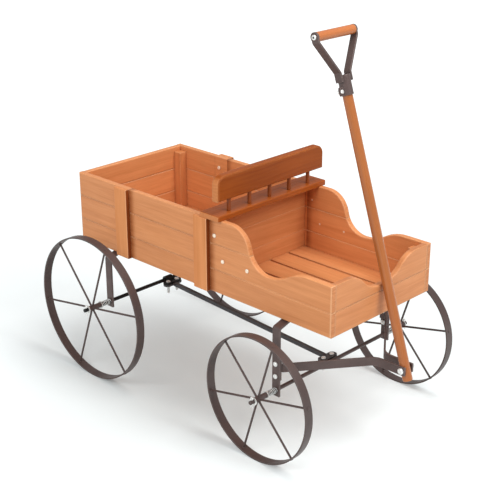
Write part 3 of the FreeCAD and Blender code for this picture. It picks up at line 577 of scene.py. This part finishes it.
def makeWood(name, stain, layout, seed, tone=1.0, lean=0.0, cells=None, knots=0.5, stainedAndShadedSides=(), bands=(),
             grooves=(), seamEnd=None, edgeWidth=0.0013, edgeShare=0.6, paleEdges=(), coat=0.08, shine=0.30):
    material, tree, shader = newMaterial(name)
    space = grainSpace(tree, layout, seed, lean, cells)
    grain = useGroup(tree, woodGrain, **{"Grain Space": space, "Ring Gap": stain["ringGap"], "Knots": knots})
    colour = woodColour(tree, stain, grain, tone)
    if not lean:
        colour = tintSawnEnds(tree, colour, stain, space, grainTurn[layout][0])
    if stainedAndShadedSides:
        colour = tintSides(tree, colour, stain, stainedAndShadedSides)
    if bands:
        colour = tintBands(tree, colour, stain, grain["Streaks"], bands, seamEnd)
    # painted shade: corners and joints are darkened
    corner = useGroup(tree, cornerShade, Reach=woodEffect["cornerReach"])["PaintedCornerShade"]
    corner = math2(tree, "POWER", corner, woodEffect["cornerFade"])
    if grooves:
        colour, corner = paintGrooveLight(tree, colour, stain, corner, grooves, seamEnd)
    colour = tint(tree, colour, stain["pooled"], corner, woodEffect["corner"])
    # edges painted lighter: finish rubbed thin, and a painted highlight
    edge = useGroup(tree, edgeMask, Width=edgeWidth, Patchiness=woodEffect["edgePatches"])
    colour = tint(tree, colour, stain["rubbed"], edge["Edge"], edgeShare)
    if paleEdges:
        colour = paintEdgeHighlights(tree, colour, stain, paleEdges)

    feed(tree, shader, "Base Color", colour)
    rough = remap(tree, grain["Fibre"], 0.3, 0.7, stain["gloss"] - 0.06, stain["gloss"] + 0.14)
    feed(tree, shader, "Roughness", addShare(tree, rough, edge["Edge"], 0.08))
    shader.inputs["Specular IOR Level"].default_value = shine
    shader.inputs["Coat Weight"].default_value = coat
    shader.inputs["Coat Roughness"].default_value = woodEffect["coatRough"]
    addBump(tree, shader, grain["Height"], edge["Soft Normal"], woodEffect["relief"],
            woodEffect["reliefDepth"])
    return material


def dress(nodeName, material):
    thing = nodes[nodeName]
    thing.data.materials.clear()
    thing.data.materials.append(material)


def dressWood(nodeName, ending, *choices, **finish):
    dress(nodeName, makeWood("wood_" + ending, *choices, **finish))


# tones of the boards, a little apart so that neighbours differ
sideTones = {"lower": 0.98, "middle": 1.02, "top": 1.0}
endTones = {
    "rear_end_board_lower": 0.97, "rear_end_board_middle": 1.03, "rear_end_board_top": 0.99,
    "front_end_board_lower": 1.02, "front_end_board_middle": 1.0,
}
battens = ("batten_left_rear", "batten_left_front", "batten_right_rear", "batten_right_front")
# finishes: metres of rubbed edge and how strongly it is painted lighter, as wear and painted highlight,
# share of clear coat, shine
boardFinish = {"edgeWidth": 0.0030, "edgeShare": 0.85}
battenFinish = {
    # darker sides, stain and painted shade with most on the side facing ahead, are given by their axis, the
    # way they face and how dark they are
    "stainedAndShadedSides": ((0, 1.0, 0.95), (0, -1.0, 0.6)), "tone": 1.05, "knots": 0.0,
    "edgeWidth": 0.0017, "edgeShare": 0.85, "coat": 0.0, "shine": 0.12,
}
seatFinish = {"edgeShare": 0.7, "coat": 0.0, "shine": 0.16}
backrestFinish = {"edgeWidth": 0.0042, "edgeShare": 0.85, "coat": 0.0, "shine": 0.12}
battenShadow = {
    # painted shadow on the boards beside a batten: ahead of it, a little painted shade behind it, and the
    # little that runs under it
    "ahead": 0.80, "aheadSpread": 0.0150, "behind": 0.16, "behindSpread": 0.004, "under": 0.0005,
}
seedStep = 1.7  # from one board to the next, so that each is cut from another part of the log
slatCount = 5

seamLevels = (seamLow, seamHigh)
seams = [(2, level, seamStain["spread"], seamStain["spread"], seamStain["amount"]) for level in seamLevels]
battenShadowBands = []
for nodeName in battens[2:]:
    low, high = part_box(nodeName)
    battenShadowBands.append((0, high.x, battenShadow["under"], battenShadow["aheadSpread"], battenShadow["ahead"]))
    battenShadowBands.append((0, low.x, battenShadow["behindSpread"], battenShadow["under"], battenShadow["behind"]))

seed = 1.0
for sideName in ("left", "right"):
    for boardName, tone in sideTones.items():
        seed += seedStep
        nodeName = "side_board_" + sideName + "_" + boardName
        dressWood(nodeName, nodeName, boardStain, "alongX", seed, tone, bands=seams + battenShadowBands,
                  grooves=seamLevels, seamEnd=seamStain["end"],
                  paleEdges=((frontFace - paleEdge["standBack"], paleEdge["boardWidth"]),), **boardFinish)
for nodeName, tone in endTones.items():
    seed += seedStep
    dressWood(nodeName, nodeName, boardStain, "alongY", seed, tone, bands=seams, grooves=seamLevels,
              **boardFinish)
for nodeName in battens:
    seed += seedStep
    dressWood(nodeName, nodeName, boardStain, "alongZ", seed,
              paleEdges=((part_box(nodeName)[1].x, paleEdge["battenWidth"]),), **battenFinish)

slatLow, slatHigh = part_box("floor_slats")
slatPitch = (slatHigh.y - slatLow.y) / slatCount
slatStarts = [slatLow.y + slatPitch * k for k in range(1, slatCount)]
dressWood("floor_slats", "floor", boardStain, "flatX", seed=37.0, tone=0.93, cells=(1, slatStarts))
dressWood("divider_boards", "divider", boardStain, "alongY", seed=31.0, tone=0.95, cells=(2, seamLevels))
dressWood("corner_posts", "posts", boardStain, "alongZ", seed=51.0, tone=0.94, knots=0.0)
dressWood("seat_board", "seat", seatStain, "flatY", seed=57.0, tone=1.1, **seatFinish)
dressWood("backrest", "backrest", seatStain, "alongY", seed=61.0, **backrestFinish)
dressWood("backrest_spindles", "spindles", seatStain, "alongZ", seed=67.0, tone=0.9, knots=0.0)
dressWood("handle_pole", "pole", poleStain, "alongZ", seed=71.0, lean=handleLean, knots=0.0, coat=0.25)
dressWood("handle_grip", "grip", gripStain, "alongY", seed=73.0, knots=0.0, coat=0.15)
print("wood done")


# in each coat, the deep colour also paints shade in corners, and the rubbed colour paints worn edges with a
# painted highlight
ironCoat = {
    # dark brown coating
    "body": (0.092, 0.056, 0.050, 1),
    "deep": (0.050, 0.030, 0.028, 1),
    "dust": (0.190, 0.155, 0.140, 1),
    "rubbed": (0.300, 0.235, 0.215, 1),
    "rough": 0.44,
    "shine": 0.50,
}
barCoat = {
    # the bar's cooler black
    "body": (0.046, 0.042, 0.048, 1),
    "deep": (0.028, 0.025, 0.028, 1),
    "dust": (0.120, 0.110, 0.110, 1),
    "rubbed": (0.300, 0.270, 0.250, 1),
    "rough": 0.38,
    "shine": 0.50,
}
axleCoat = {
    # oiled black steel
    "body": (0.012, 0.011, 0.011, 1),
    "deep": (0.006, 0.006, 0.006, 1),
    "dust": (0.060, 0.052, 0.046, 1),
    "rubbed": (0.110, 0.095, 0.090, 1),
    "rough": 0.42,
    "shine": 0.22,
}
weldCoat = {
    # the brown coating over the welds, where it is a little rougher
    "body": (0.100, 0.064, 0.058, 1),
    "deep": (0.052, 0.034, 0.031, 1),
    "dust": (0.200, 0.165, 0.150, 1),
    "rubbed": (0.260, 0.205, 0.190, 1),
    "rough": 0.50,
    "shine": 0.50,
}
brightZinc = {
    # nuts, bolts, washers and pins
    "body": (0.93, 0.93, 0.91, 1),
    "dull": (0.70, 0.69, 0.66, 1),
    "rough": 0.24,
    "metal": 0.55,
}
screwPlating = {
    # wood screws, painted warm: a painted reflection of the wood round them
    "body": (1.00, 0.85, 0.69, 1),
    "dull": (0.80, 0.60, 0.42, 1),
    "rough": 0.34,
    "metal": 0.30,
}
springPlating = {
    # bright wire
    "body": (0.86, 0.87, 0.86, 1),
    "dull": (0.60, 0.60, 0.58, 1),
    "rough": 0.20,
    "metal": 0.85,
}
ironSurface = {
    # how strongly the deep, dusty and rubbed colours show, the deep one as clouds and as painted shade in
    # corners, the rubbed one as wear and painted highlight on edges, and the patchiness of a rubbed edge
    "clouds": 0.55, "specks": 0.25, "corner": 0.50, "edge": 0.60, "edgePatches": 0.50,
    # metres that the painted corner shade reaches, strength and depth of the orange peel
    "cornerReach": 0.006, "relief": 0.30, "reliefDepth": 0.0002,
}


def makeIron(name, coat, tone=1.0, edgeWidth=0.0009):
    # powder coat with a fine orange-peel surface
    material, tree, shader = newMaterial(name)
    place = objectPlace(tree)
    broad = noise(tree, place, 28.0, 3.0, 0.6)
    clouds = remap(tree, broad, 0.35, 0.7, 0.0, ironSurface["clouds"])
    colour = mixColour(tree, clouds, toned(coat["body"], tone), coat["deep"])
    fine = noise(tree, place, 700.0, 2.0, 0.6)
    specks = remap(tree, fine, 0.60, 0.78, 0.0, ironSurface["specks"])
    colour = mixColour(tree, specks, colour, coat["dust"])
    # painted shade: corners are darkened with the deep colour
    corner = useGroup(tree, cornerShade, Reach=ironSurface["cornerReach"])["PaintedCornerShade"]
    colour = tint(tree, colour, coat["deep"], corner, ironSurface["corner"])
    # edges painted lighter: finish rubbed thin, and a painted highlight
    edge = useGroup(tree, edgeMask, Width=edgeWidth, Patchiness=ironSurface["edgePatches"])
    colour = tint(tree, colour, coat["rubbed"], edge["Edge"], ironSurface["edge"])
    feed(tree, shader, "Base Color", colour)
    rough = remap(tree, broad, 0.3, 0.7, coat["rough"] - 0.07, coat["rough"] + 0.10)
    feed(tree, shader, "Roughness", rough)
    shader.inputs["Specular IOR Level"].default_value = coat["shine"]
    peel = noise(tree, place, 520.0, 2.0, 0.5)
    addBump(tree, shader, peel, edge["Soft Normal"], ironSurface["relief"], ironSurface["reliefDepth"])
    return material


platedSurface = {
    # how strongly the dull clouds and the painted shade in corners show, the shade's colour and reach
    "clouds": 0.70, "corner": 0.55, "cornerShadeColour": (0.16, 0.14, 0.12, 1), "cornerReach": 0.0025,
    # width of the softened edges in metres, and strength, depth and stretch of the fine scratches
    "edgeWidth": 0.0004, "relief": 0.12, "reliefDepth": 0.0001, "scratches": (900, 900, 2600),
}


def makePlated(name, plating):
    material, tree, shader = newMaterial(name)
    place = objectPlace(tree)
    cloud = noise(tree, place, 260.0, 3.0, 0.6)
    clouds = remap(tree, cloud, 0.35, 0.7, 0.0, platedSurface["clouds"])
    colour = mixColour(tree, clouds, plating["body"], plating["dull"])
    # painted shade: corners are darkened
    corner = useGroup(tree, cornerShade, Reach=platedSurface["cornerReach"])["PaintedCornerShade"]
    colour = tint(tree, colour, platedSurface["cornerShadeColour"], corner, platedSurface["corner"])
    feed(tree, shader, "Base Color", colour)
    rough = remap(tree, cloud, 0.3, 0.7, plating["rough"], plating["rough"] + 0.16)
    feed(tree, shader, "Roughness", rough)
    shader.inputs["Metallic"].default_value = plating["metal"]
    edge = useGroup(tree, edgeMask, Width=platedSurface["edgeWidth"], Patchiness=0.2)
    scratch = noise(tree, stretch(tree, place, platedSurface["scratches"]), 1.0, 2.0, 0.6)
    addBump(tree, shader, scratch, edge["Soft Normal"], platedSurface["relief"],
            platedSurface["reliefDepth"])
    return material


# each iron's tone against its coat, with the frame's copy painted lighter as painted light on its straps,
# and the metres of edge that are rubbed
rimIron = makeIron("iron_rim", ironCoat, tone=0.80)
spokeIron = makeIron("iron_spoke", ironCoat, tone=0.85, edgeWidth=0.0005)
frameIron = makeIron("iron_frame", ironCoat, tone=1.1, edgeWidth=0.0014)
handleIron = makeIron("iron_handle", ironCoat, tone=1.1, edgeWidth=0.0018)
axleIron = makeIron("iron_axle", axleCoat, edgeWidth=0.0005)
barIron = makeIron("iron_bar", barCoat)
weldIron = makeIron("iron_weld", weldCoat, edgeWidth=0.0003)
zinc = makePlated("zinc_bright", brightZinc)
springWire = makePlated("zinc_spring", springPlating)
screwZinc = makePlated("zinc_screw", screwPlating)

for nodeName in nodes:
    if nodeName.endswith("_rim"):
        dress(nodeName, rimIron)
    elif nodeName.endswith(("_spokes", "_hub")):
        dress(nodeName, spokeIron)
for metal, nodeNames in (
    (frameIron, ("rear_bracket", "front_bracket", "yoke_arm_left", "yoke_arm_right")),
    (axleIron, ("rear_axle", "rear_axle_clamp", "front_axle_clamp")),
    (spokeIron, ("front_axle",)),
    (barIron, ("reach_bar",)),
    (handleIron, ("handle_socket", "handle_arm_left", "handle_arm_right")),
    (zinc, ("axle_washers", "split_pins", "clamp_bolts", "yoke_bolts", "pivot_bolt", "grip_bolt",
            "socket_screw")),
    (springWire, ("axle_springs",)),
    (screwZinc, ("batten_screws", "side_screws", "bracket_screws")),
):
    for nodeName in nodeNames:
        dress(nodeName, metal)
print("metal done")


# welds, threads and the bolt's recess: all lengths in metres
weldBead = {
    # radius of the bead at each place
    "spoke": 0.00055, "rimJoint": 0.00080, "bar": 0.00095, "tab": 0.00100, "socket": 0.00120,
    # ripple is the share by which the bead swells and shrinks, gap the ripples' spacing
    "ripple": 0.16, "gap": 0.0011, "stepsPerRipple": 6, "sides": 8,
    # a slower unevenness over that, and how thin the bead is at its ends
    "uneven": 0.08, "endShare": 0.45,
}


def looseParts(nodeName):
    # the separate solids of a node, each as a list of points; the node's own mesh stays as it is
    net = bmesh.new()
    net.from_mesh(nodes[nodeName].data)
    bmesh.ops.remove_doubles(net, verts=net.verts, dist=1e-6)
    seen = set()
    parts = []
    for start in net.verts:
        if start in seen:
            continue
        seen.add(start)
        waiting = [start]
        points = []
        while waiting:
            corner = waiting.pop()
            points.append(corner.co.copy())
            for edge in corner.link_edges:
                other = edge.other_vert(corner)
                if other not in seen:
                    seen.add(other)
                    waiting.append(other)
        parts.append(points)
    net.free()
    return parts


def aroundAxis(axis):
    # the axis itself, and two ways that are square to it and to each other
    axis = axis.normalized()
    across = axis.orthogonal().normalized()
    return axis, across, axis.cross(across)


def onCircle(across, up, angle):
    return across * math.cos(angle) + up * math.sin(angle)


def addTube(net, path, radii, sides, closed=False):
    # a round bar along a list of points, with its own radius at each of them
    count = len(path)
    rings = []
    across = None
    for k, point in enumerate(path):
        if closed:
            ahead = path[(k + 1) % count] - path[k - 1]
        else:
            ahead = path[min(k + 1, count - 1)] - path[max(k - 1, 0)]
        ahead = ahead.normalized()
        if across is None:
            across = ahead.orthogonal()
        across = (across - ahead * across.dot(ahead)).normalized()
        up = ahead.cross(across)
        ring = []
        for step in range(sides):
            spoke = onCircle(across, up, 2 * math.pi * step / sides)
            ring.append(net.verts.new(point + spoke * radii[k]))
        rings.append(ring)
    pairs = list(zip(rings, rings[1:]))
    if closed:
        pairs.append((rings[-1], rings[0]))
    for first, second in pairs:
        for step in range(sides):
            nextStep = (step + 1) % sides
            net.faces.new((first[step], first[nextStep], second[nextStep], second[step]))
    if not closed:
        net.faces.new(list(reversed(rings[0])))
        net.faces.new(rings[-1])


def addBead(net, start, end, thickness, seed):
    # a straight run of weld, laid in small overlapping ripples
    length = (end - start).length
    ripples = length / weldBead["gap"]
    count = max(6, int(ripples * weldBead["stepsPerRipple"]))
    path = []
    radii = []
    for k in range(count + 1):
        share = k / count
        swell = 1 + weldBead["ripple"] * math.sin(share * ripples * 2 * math.pi)
        swell *= 1 + weldBead["uneven"] * math.sin(share * 5.3 + seed * 2.1)
        taper = min(1.0, weldBead["endShare"] + min(share, 1 - share) * length / thickness * 0.5)
        path.append(start.lerp(end, share))
        radii.append(thickness * swell * taper)
    addTube(net, path, radii, weldBead["sides"])


weldCollar = {
    # a bead all round a spoke: its steps and sides, and two kinds of unevenness
    "steps": 24, "sides": 6, "ripple": 0.14, "uneven": 0.08,
    # how far it stands out from the spoke, as a share of the bead, from the hub and from the rim
    "proud": 0.35, "fromHub": 0.0001, "fromRim": 0.0002,
}


def addCollar(net, middle, axis, radius, thickness, seed):
    # weld all round a bar
    axis, across, up = aroundAxis(axis)
    path = []
    radii = []
    for k in range(weldCollar["steps"]):
        angle = 2 * math.pi * k / weldCollar["steps"]
        swell = 1 + weldCollar["ripple"] * math.sin(angle * 7 + seed)
        swell += weldCollar["uneven"] * math.sin(angle * 3 + seed * 3)
        path.append(middle + onCircle(across, up, angle) * radius)
        radii.append(thickness * swell)
    addTube(net, path, radii, weldCollar["sides"], closed=True)


boltThread = {
    "pitch": 0.00070, "ridge": 0.00024, "stepsPerTurn": 16, "sides": 4,
    # a clamp bolt longer than the first of these is threaded from its foot for the last
    "longBolt": 0.010, "clampRadius": 0.0020, "clampFoot": 0.0005, "clampLength": 0.0102,
    "pivotRadius": 0.0025, "pivotInset": 0.0003, "pivotLength": 0.0016,
}


def addThread(net, start, axis, radius, length):
    # the ridge of a thread, wound round the bolt's tail and running out at both ends
    axis, across, up = aroundAxis(axis)
    turns = length / boltThread["pitch"]
    count = int(turns * boltThread["stepsPerTurn"])
    path = []
    radii = []
    for k in range(count + 1):
        share = k / count
        angle = 2 * math.pi * turns * share
        path.append(start + axis * length * share + onCircle(across, up, angle) * radius)
        radii.append(boltThread["ridge"] * min(1.0, 0.3 + 6 * min(share, 1 - share)))
    addTube(net, path, radii, boltThread["sides"])


def finishPiece(net, name, material, body):
    # the bead or thread as a smooth piece of its own, on its body
    bmesh.ops.recalc_face_normals(net, faces=net.faces)
    mesh = bpy.data.meshes.new(name)
    net.to_mesh(mesh)
    net.free()
    for face in mesh.polygons:
        face.use_smooth = True
    mesh.materials.append(material)
    piece = bpy.data.objects.new(name, mesh)
    bpy.context.scene.collection.objects.link(piece)
    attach(piece, body)


wheelMaking = {
    # the wheel as it is made
    "hubRadius": 0.0043, "spokeRadius": 0.0016, "rimThickness": 0.0022,
    # width of the rim, how far its joint's weld stops short of the borders, and where the joint is,
    # in degrees from the first spoke
    "rimWidth": 0.0140, "rimBorder": 0.0008, "jointTurn": 31.0,
}


def spokeWays(wheel, middle):
    # the way in which each spoke points from the wheel's middle
    ways = []
    for points in looseParts(wheel + "_spokes"):
        centre = sum(points, Vector()) / len(points)
        ways.append(Vector((centre.x - middle.x, 0, centre.z - middle.z)).normalized())
    return ways


def makeWheelWelds(end, side):
    # a collar where each spoke meets the hub and the rim, and the joint where the rim's strip closes
    wheel = end + "_wheel_" + side
    middle = jointPlace(end + "_" + side + "_wheel_spin")
    low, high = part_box(wheel + "_rim")
    rimInside = (high.z - low.z) / 2 - wheelMaking["rimThickness"]
    bead = weldBead["spoke"]
    collar = wheelMaking["spokeRadius"] + bead * weldCollar["proud"]
    net = bmesh.new()
    ways = spokeWays(wheel, middle)
    for k, way in enumerate(ways):
        atHub = middle + way * (wheelMaking["hubRadius"] + weldCollar["fromHub"])
        atRim = middle + way * (rimInside - weldCollar["fromRim"])
        addCollar(net, atHub, way, collar, bead, k * 1.3)
        addCollar(net, atRim, way, collar, bead, k * 1.7 + 1)
    turned = Matrix.Rotation(math.radians(wheelMaking["jointTurn"]), 3, "Y") @ ways[0]
    half = Vector((0, wheelMaking["rimWidth"] / 2 - wheelMaking["rimBorder"], 0))
    joint = middle + turned * rimInside
    addBead(net, joint - half, joint + half, weldBead["rimJoint"], 2.0)
    finishPiece(net, wheel + "_welds", weldIron, "wheel_" + end + "_" + side)
    return len(ways)


barJoint = {
    # from the axle's middle to the end plate, and the plate's length
    "gap": 0.0045, "plate": 0.0135,
    # thickness and half width of the bar, its top above the front axle's middle, which is as far below
    # the rear one's, and how far the cross welds stand back
    "thick": 0.0030, "half": 0.0030, "top": 0.0030, "standBack": 0.0009,
}


def weldBarEnd(net, axle, way, top):
    # across the bar above and below, and up both of its sides
    edge = axle.x + way * (barJoint["gap"] + barJoint["plate"])
    inset = edge - way * barJoint["standBack"]
    foot = top - barJoint["thick"]
    half = barJoint["half"]
    bead = weldBead["bar"]
    for level in (top, foot):
        addBead(net, Vector((inset, -half, level)), Vector((inset, half, level)), bead, level * 900)
    for side in (half, -half):
        addBead(net, Vector((edge, side, foot)), Vector((edge, side, top)), bead, side / half + 3.0)


yokeJoint = {
    # half height of a strap, how far its inner face lies in, and the strap's end ahead of the axle
    "strapHalf": 0.0065, "faceInset": 0.0030, "ahead": 0.0058,
    # how far the welds stop short at the back, at the front, and at top and bottom
    "backInset": 0.0008, "frontInset": 0.0006, "endInset": 0.0008,
}


def makeFrameWelds():
    # bar to end plates, and each yoke strap to its tab
    net = bmesh.new()
    weldBarEnd(net, rearAxle, 1, rearAxle.z - barJoint["top"])
    weldBarEnd(net, frontAxle, -1, frontAxle.z + barJoint["top"])
    strapLow = pivot.z - yokeJoint["strapHalf"]
    strapHigh = pivot.z + yokeJoint["strapHalf"]
    armLow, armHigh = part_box("yoke_arm_left")
    back = armLow.x + yokeJoint["backInset"]
    front = frontAxle.x + yokeJoint["ahead"]
    for side in (1, -1):
        face = side * (armHigh.y - yokeJoint["faceInset"])
        addBead(net, Vector((back, face, strapLow)),
                Vector((front - yokeJoint["frontInset"], face, strapLow)), weldBead["tab"], 4.0)
        addBead(net, Vector((front, face, strapLow + yokeJoint["endInset"])),
                Vector((front, face, strapHigh - yokeJoint["endInset"])), weldBead["tab"], 5.0)
    finishPiece(net, "frame_welds", weldIron, "chassis")


socketJoint = {
    # the arms' feet up the pole from the pivot, the weld's reach below and above them
    "foot": 0.4205, "below": 0.0070, "above": 0.0017,
    # the seams' distance from the pole's middle, ahead and to the side
    "ahead": 0.0047, "aside": 0.0082,
}


def makeHandleWelds():
    # the arms' feet are welded to the socket along both of their edges
    net = bmesh.new()
    leaned = Matrix.Rotation(-handleLean, 3, "Y")
    low = Vector((0, 0, socketJoint["foot"] - socketJoint["below"]))
    high = Vector((0, 0, socketJoint["foot"] + socketJoint["above"]))
    for side in (1, -1):
        for way in (1, -1):
            spot = Vector((way * socketJoint["ahead"], side * socketJoint["aside"], 0))
            addBead(net, pivot + leaned @ (spot + low), pivot + leaned @ (spot + high),
                    weldBead["socket"], side * 2.0 + way)
    finishPiece(net, "handle_welds", weldIron, "pull_handle")


def makeThreads():
    # the long tails of the clamp bolts, and the short one of the pivot bolt
    net = bmesh.new()
    count = 0
    for points in looseParts("clamp_bolts"):
        low = Vector([min(p[k] for p in points) for k in range(3)])
        high = Vector([max(p[k] for p in points) for k in range(3)])
        if high.z - low.z < boltThread["longBolt"]:
            continue
        foot = Vector(((low.x + high.x) / 2, (low.y + high.y) / 2, low.z + boltThread["clampFoot"]))
        addThread(net, foot, Vector((0, 0, 1)), boltThread["clampRadius"], boltThread["clampLength"])
        count += 1
    tail = Vector((pivot.x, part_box("pivot_bolt")[1].y - boltThread["pivotInset"], pivot.z))
    addThread(net, tail, Vector((0, -1, 0)), boltThread["pivotRadius"], boltThread["pivotLength"])
    finishPiece(net, "bolt_threads", zinc, "chassis")
    return count + 1


socketHead = {
    # six-sided recess in the grip bolt's head, drawn as a flat black hex with a low rim just proud of the
    # head: the black is painted shade of the recess
    "sides": 6, "radius": 0.00135, "wall": 0.00022, "proud": 0.00012,
}


def makeGripSocket():
    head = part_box("grip_bolt")[0].y - socketHead["proud"]
    middle = Vector((gripMiddle.x, head, gripMiddle.z))
    sides = socketHead["sides"]
    net = bmesh.new()
    corners = []
    for k in range(sides):
        angle = 2 * math.pi * k / sides
        corners.append(middle + Vector((math.cos(angle), 0, math.sin(angle))) * socketHead["radius"])
    addTube(net, corners, [socketHead["wall"]] * sides, 6, closed=True)
    net.faces.new([net.verts.new(corner) for corner in corners])
    # painted shade: the oiled black stands in for the shade inside the recess
    finishPiece(net, "grip_bolt_recess_painted_shade", axleIron, "pull_handle")


welded = sum(makeWheelWelds(end, side) for end in ("rear", "front") for side in ("left", "right"))
makeFrameWelds()
makeHandleWelds()
makeGripSocket()
threads = makeThreads()
print("welds and threads made:", welded, "spokes,", threads, "bolt tails")


studio = {
    "floorColour": (0.665, 0.712, 0.715, 1),
    # half the floor's width, and how far it lies below the cart, in metres
    "floorHalf": 30.0,
    "floorGap": 0.0002,
    # the floor's own glow, painted light: lowest under the cart, higher beside it, which paints the edge of
    # the cart's shadow, and highest far away, with the distances in metres
    "floorGlow": 0.10,
    "nearGlow": 0.31, "nearFrom": 0.06, "nearTo": 0.42,
    "farGlow": 0.44, "farFrom": 0.55, "farTo": 2.0,
    "shadowMiddle": (-0.09, -0.09, 0.0),
    # light from all round, and the white wall that is seen behind the cart
    "white": (1.0, 1.0, 1.0, 1),
    "airStrength": 0.52,
    "wallStrength": 1.0,
}


def makeFloor():
    mesh = bpy.data.meshes.new("floor")
    half = studio["floorHalf"]
    level = cadBox[0][2] - studio["floorGap"]
    corners = [(-half, -half, level), (half, -half, level), (half, half, level), (-half, half, level)]
    mesh.from_pydata(corners, [], [(0, 1, 2, 3)])
    floor = bpy.data.objects.new("floor", mesh)
    bpy.context.scene.collection.objects.link(floor)
    material = bpy.data.materials.new("floor_paper")
    tree = newTree(material)
    out = put(tree, "ShaderNodeOutputMaterial")
    paper = put(tree, "ShaderNodeBsdfDiffuse")
    paper.inputs["Color"].default_value = studio["floorColour"]
    glow = put(tree, "ShaderNodeEmission")
    path = put(tree, "ShaderNodeLightPath").outputs
    seen = math2(tree, "ADD", path["Is Camera Ray"], path["Is Glossy Ray"], clamp=True)
    seen = math2(tree, "ADD", seen, path["Is Transmission Ray"], clamp=True)
    # the paper glows brighter further from the shadow's middle: painted light round the cart's shadow,
    # running into a white background
    away = put(tree, "ShaderNodeVectorMath", operation="DISTANCE")
    feed(tree, away, 0, objectPlace(tree))
    feed(tree, away, 1, studio["shadowMiddle"])
    away = away.outputs["Value"]
    beside = remap(tree, away, studio["nearFrom"], studio["nearTo"], studio["floorGlow"],
                   studio["nearGlow"], smooth=True)
    far = remap(tree, away, studio["farFrom"], studio["farTo"], 0.0, studio["farGlow"], smooth=True)
    feed(tree, glow, "Strength", math2(tree, "MULTIPLY", seen, math2(tree, "ADD", beside, far)))
    both = put(tree, "ShaderNodeAddShader")
    tree.links.new(paper.outputs[0], both.inputs[0])
    tree.links.new(glow.outputs[0], both.inputs[1])
    tree.links.new(both.outputs[0], out.inputs["Surface"])
    mesh.materials.append(material)


def addBackground(tree, strength):
    light = put(tree, "ShaderNodeBackground")
    light.inputs["Color"].default_value = studio["white"]
    light.inputs["Strength"].default_value = strength
    return light.outputs[0]


def makeWorld():
    world = bpy.data.worlds.new("studio")
    bpy.context.scene.world = world
    tree = newTree(world)
    out = put(tree, "ShaderNodeOutputWorld")
    path = put(tree, "ShaderNodeLightPath").outputs
    seen = math2(tree, "ADD", path["Is Camera Ray"], path["Is Transmission Ray"], clamp=True)
    both = put(tree, "ShaderNodeMixShader")
    feed(tree, both, 0, seen)
    tree.links.new(addBackground(tree, studio["airStrength"]), both.inputs[1])
    tree.links.new(addBackground(tree, studio["wallStrength"]), both.inputs[2])
    tree.links.new(both.outputs[0], out.inputs["Surface"])


lamps = {
    # places and sizes in metres, power in watts
    "key": {"place": (0.3, -2.4, 1.9), "power": 36.0, "size": 1.8},
    "front": {"place": (1.7, 0.3, 2.0), "power": 26.0, "size": 1.2},
    "top": {"place": (0.6, 0.3, 2.5), "power": 20.0, "size": 1.0},
}
lampTarget = (0.0, 0.0, 0.2)


def addLamp(name, place, power, size):
    lamp = bpy.data.lights.new(name, "AREA")
    lamp.energy = power
    lamp.shape = "DISK"
    lamp.size = size
    holder = bpy.data.objects.new(name, lamp)
    holder.location = place
    aim = Vector(lampTarget) - Vector(place)
    holder.rotation_euler = aim.to_track_quat("-Z", "Y").to_euler()
    bpy.context.scene.collection.objects.link(holder)


cameraView = {
    # measured from the photograph: where the lens stood from the rear axle's middle, on the ground
    "fromRearAxle": (1.34031, -1.18594, 0.89574),
    # degrees round and down, then lens and sensor in millimetres, and the furthest metre seen
    "turn": 44.0228,
    "lookDown": 22.0945,
    "lens": 82.2,
    "sensor": 36.0,
    "furthest": 100.0,
}


def makeCamera():
    lens = bpy.data.cameras.new("camera")
    lens.sensor_width = cameraView["sensor"]
    lens.lens = cameraView["lens"]
    lens.clip_end = cameraView["furthest"]
    holder = bpy.data.objects.new("camera", lens)
    ahead, side, up = cameraView["fromRearAxle"]
    holder.location = (rearAxle.x + ahead, side, up)
    tilt = math.radians(90 - cameraView["lookDown"])
    holder.rotation_euler = (tilt, 0, math.radians(cameraView["turn"]))
    bpy.context.scene.collection.objects.link(holder)
    bpy.context.scene.camera = holder


makeFloor()
makeWorld()
for lampName, lamp in lamps.items():
    addLamp(lampName, **lamp)
makeCamera()
bpy.context.scene.view_settings.view_transform = "Standard"
print("studio done")
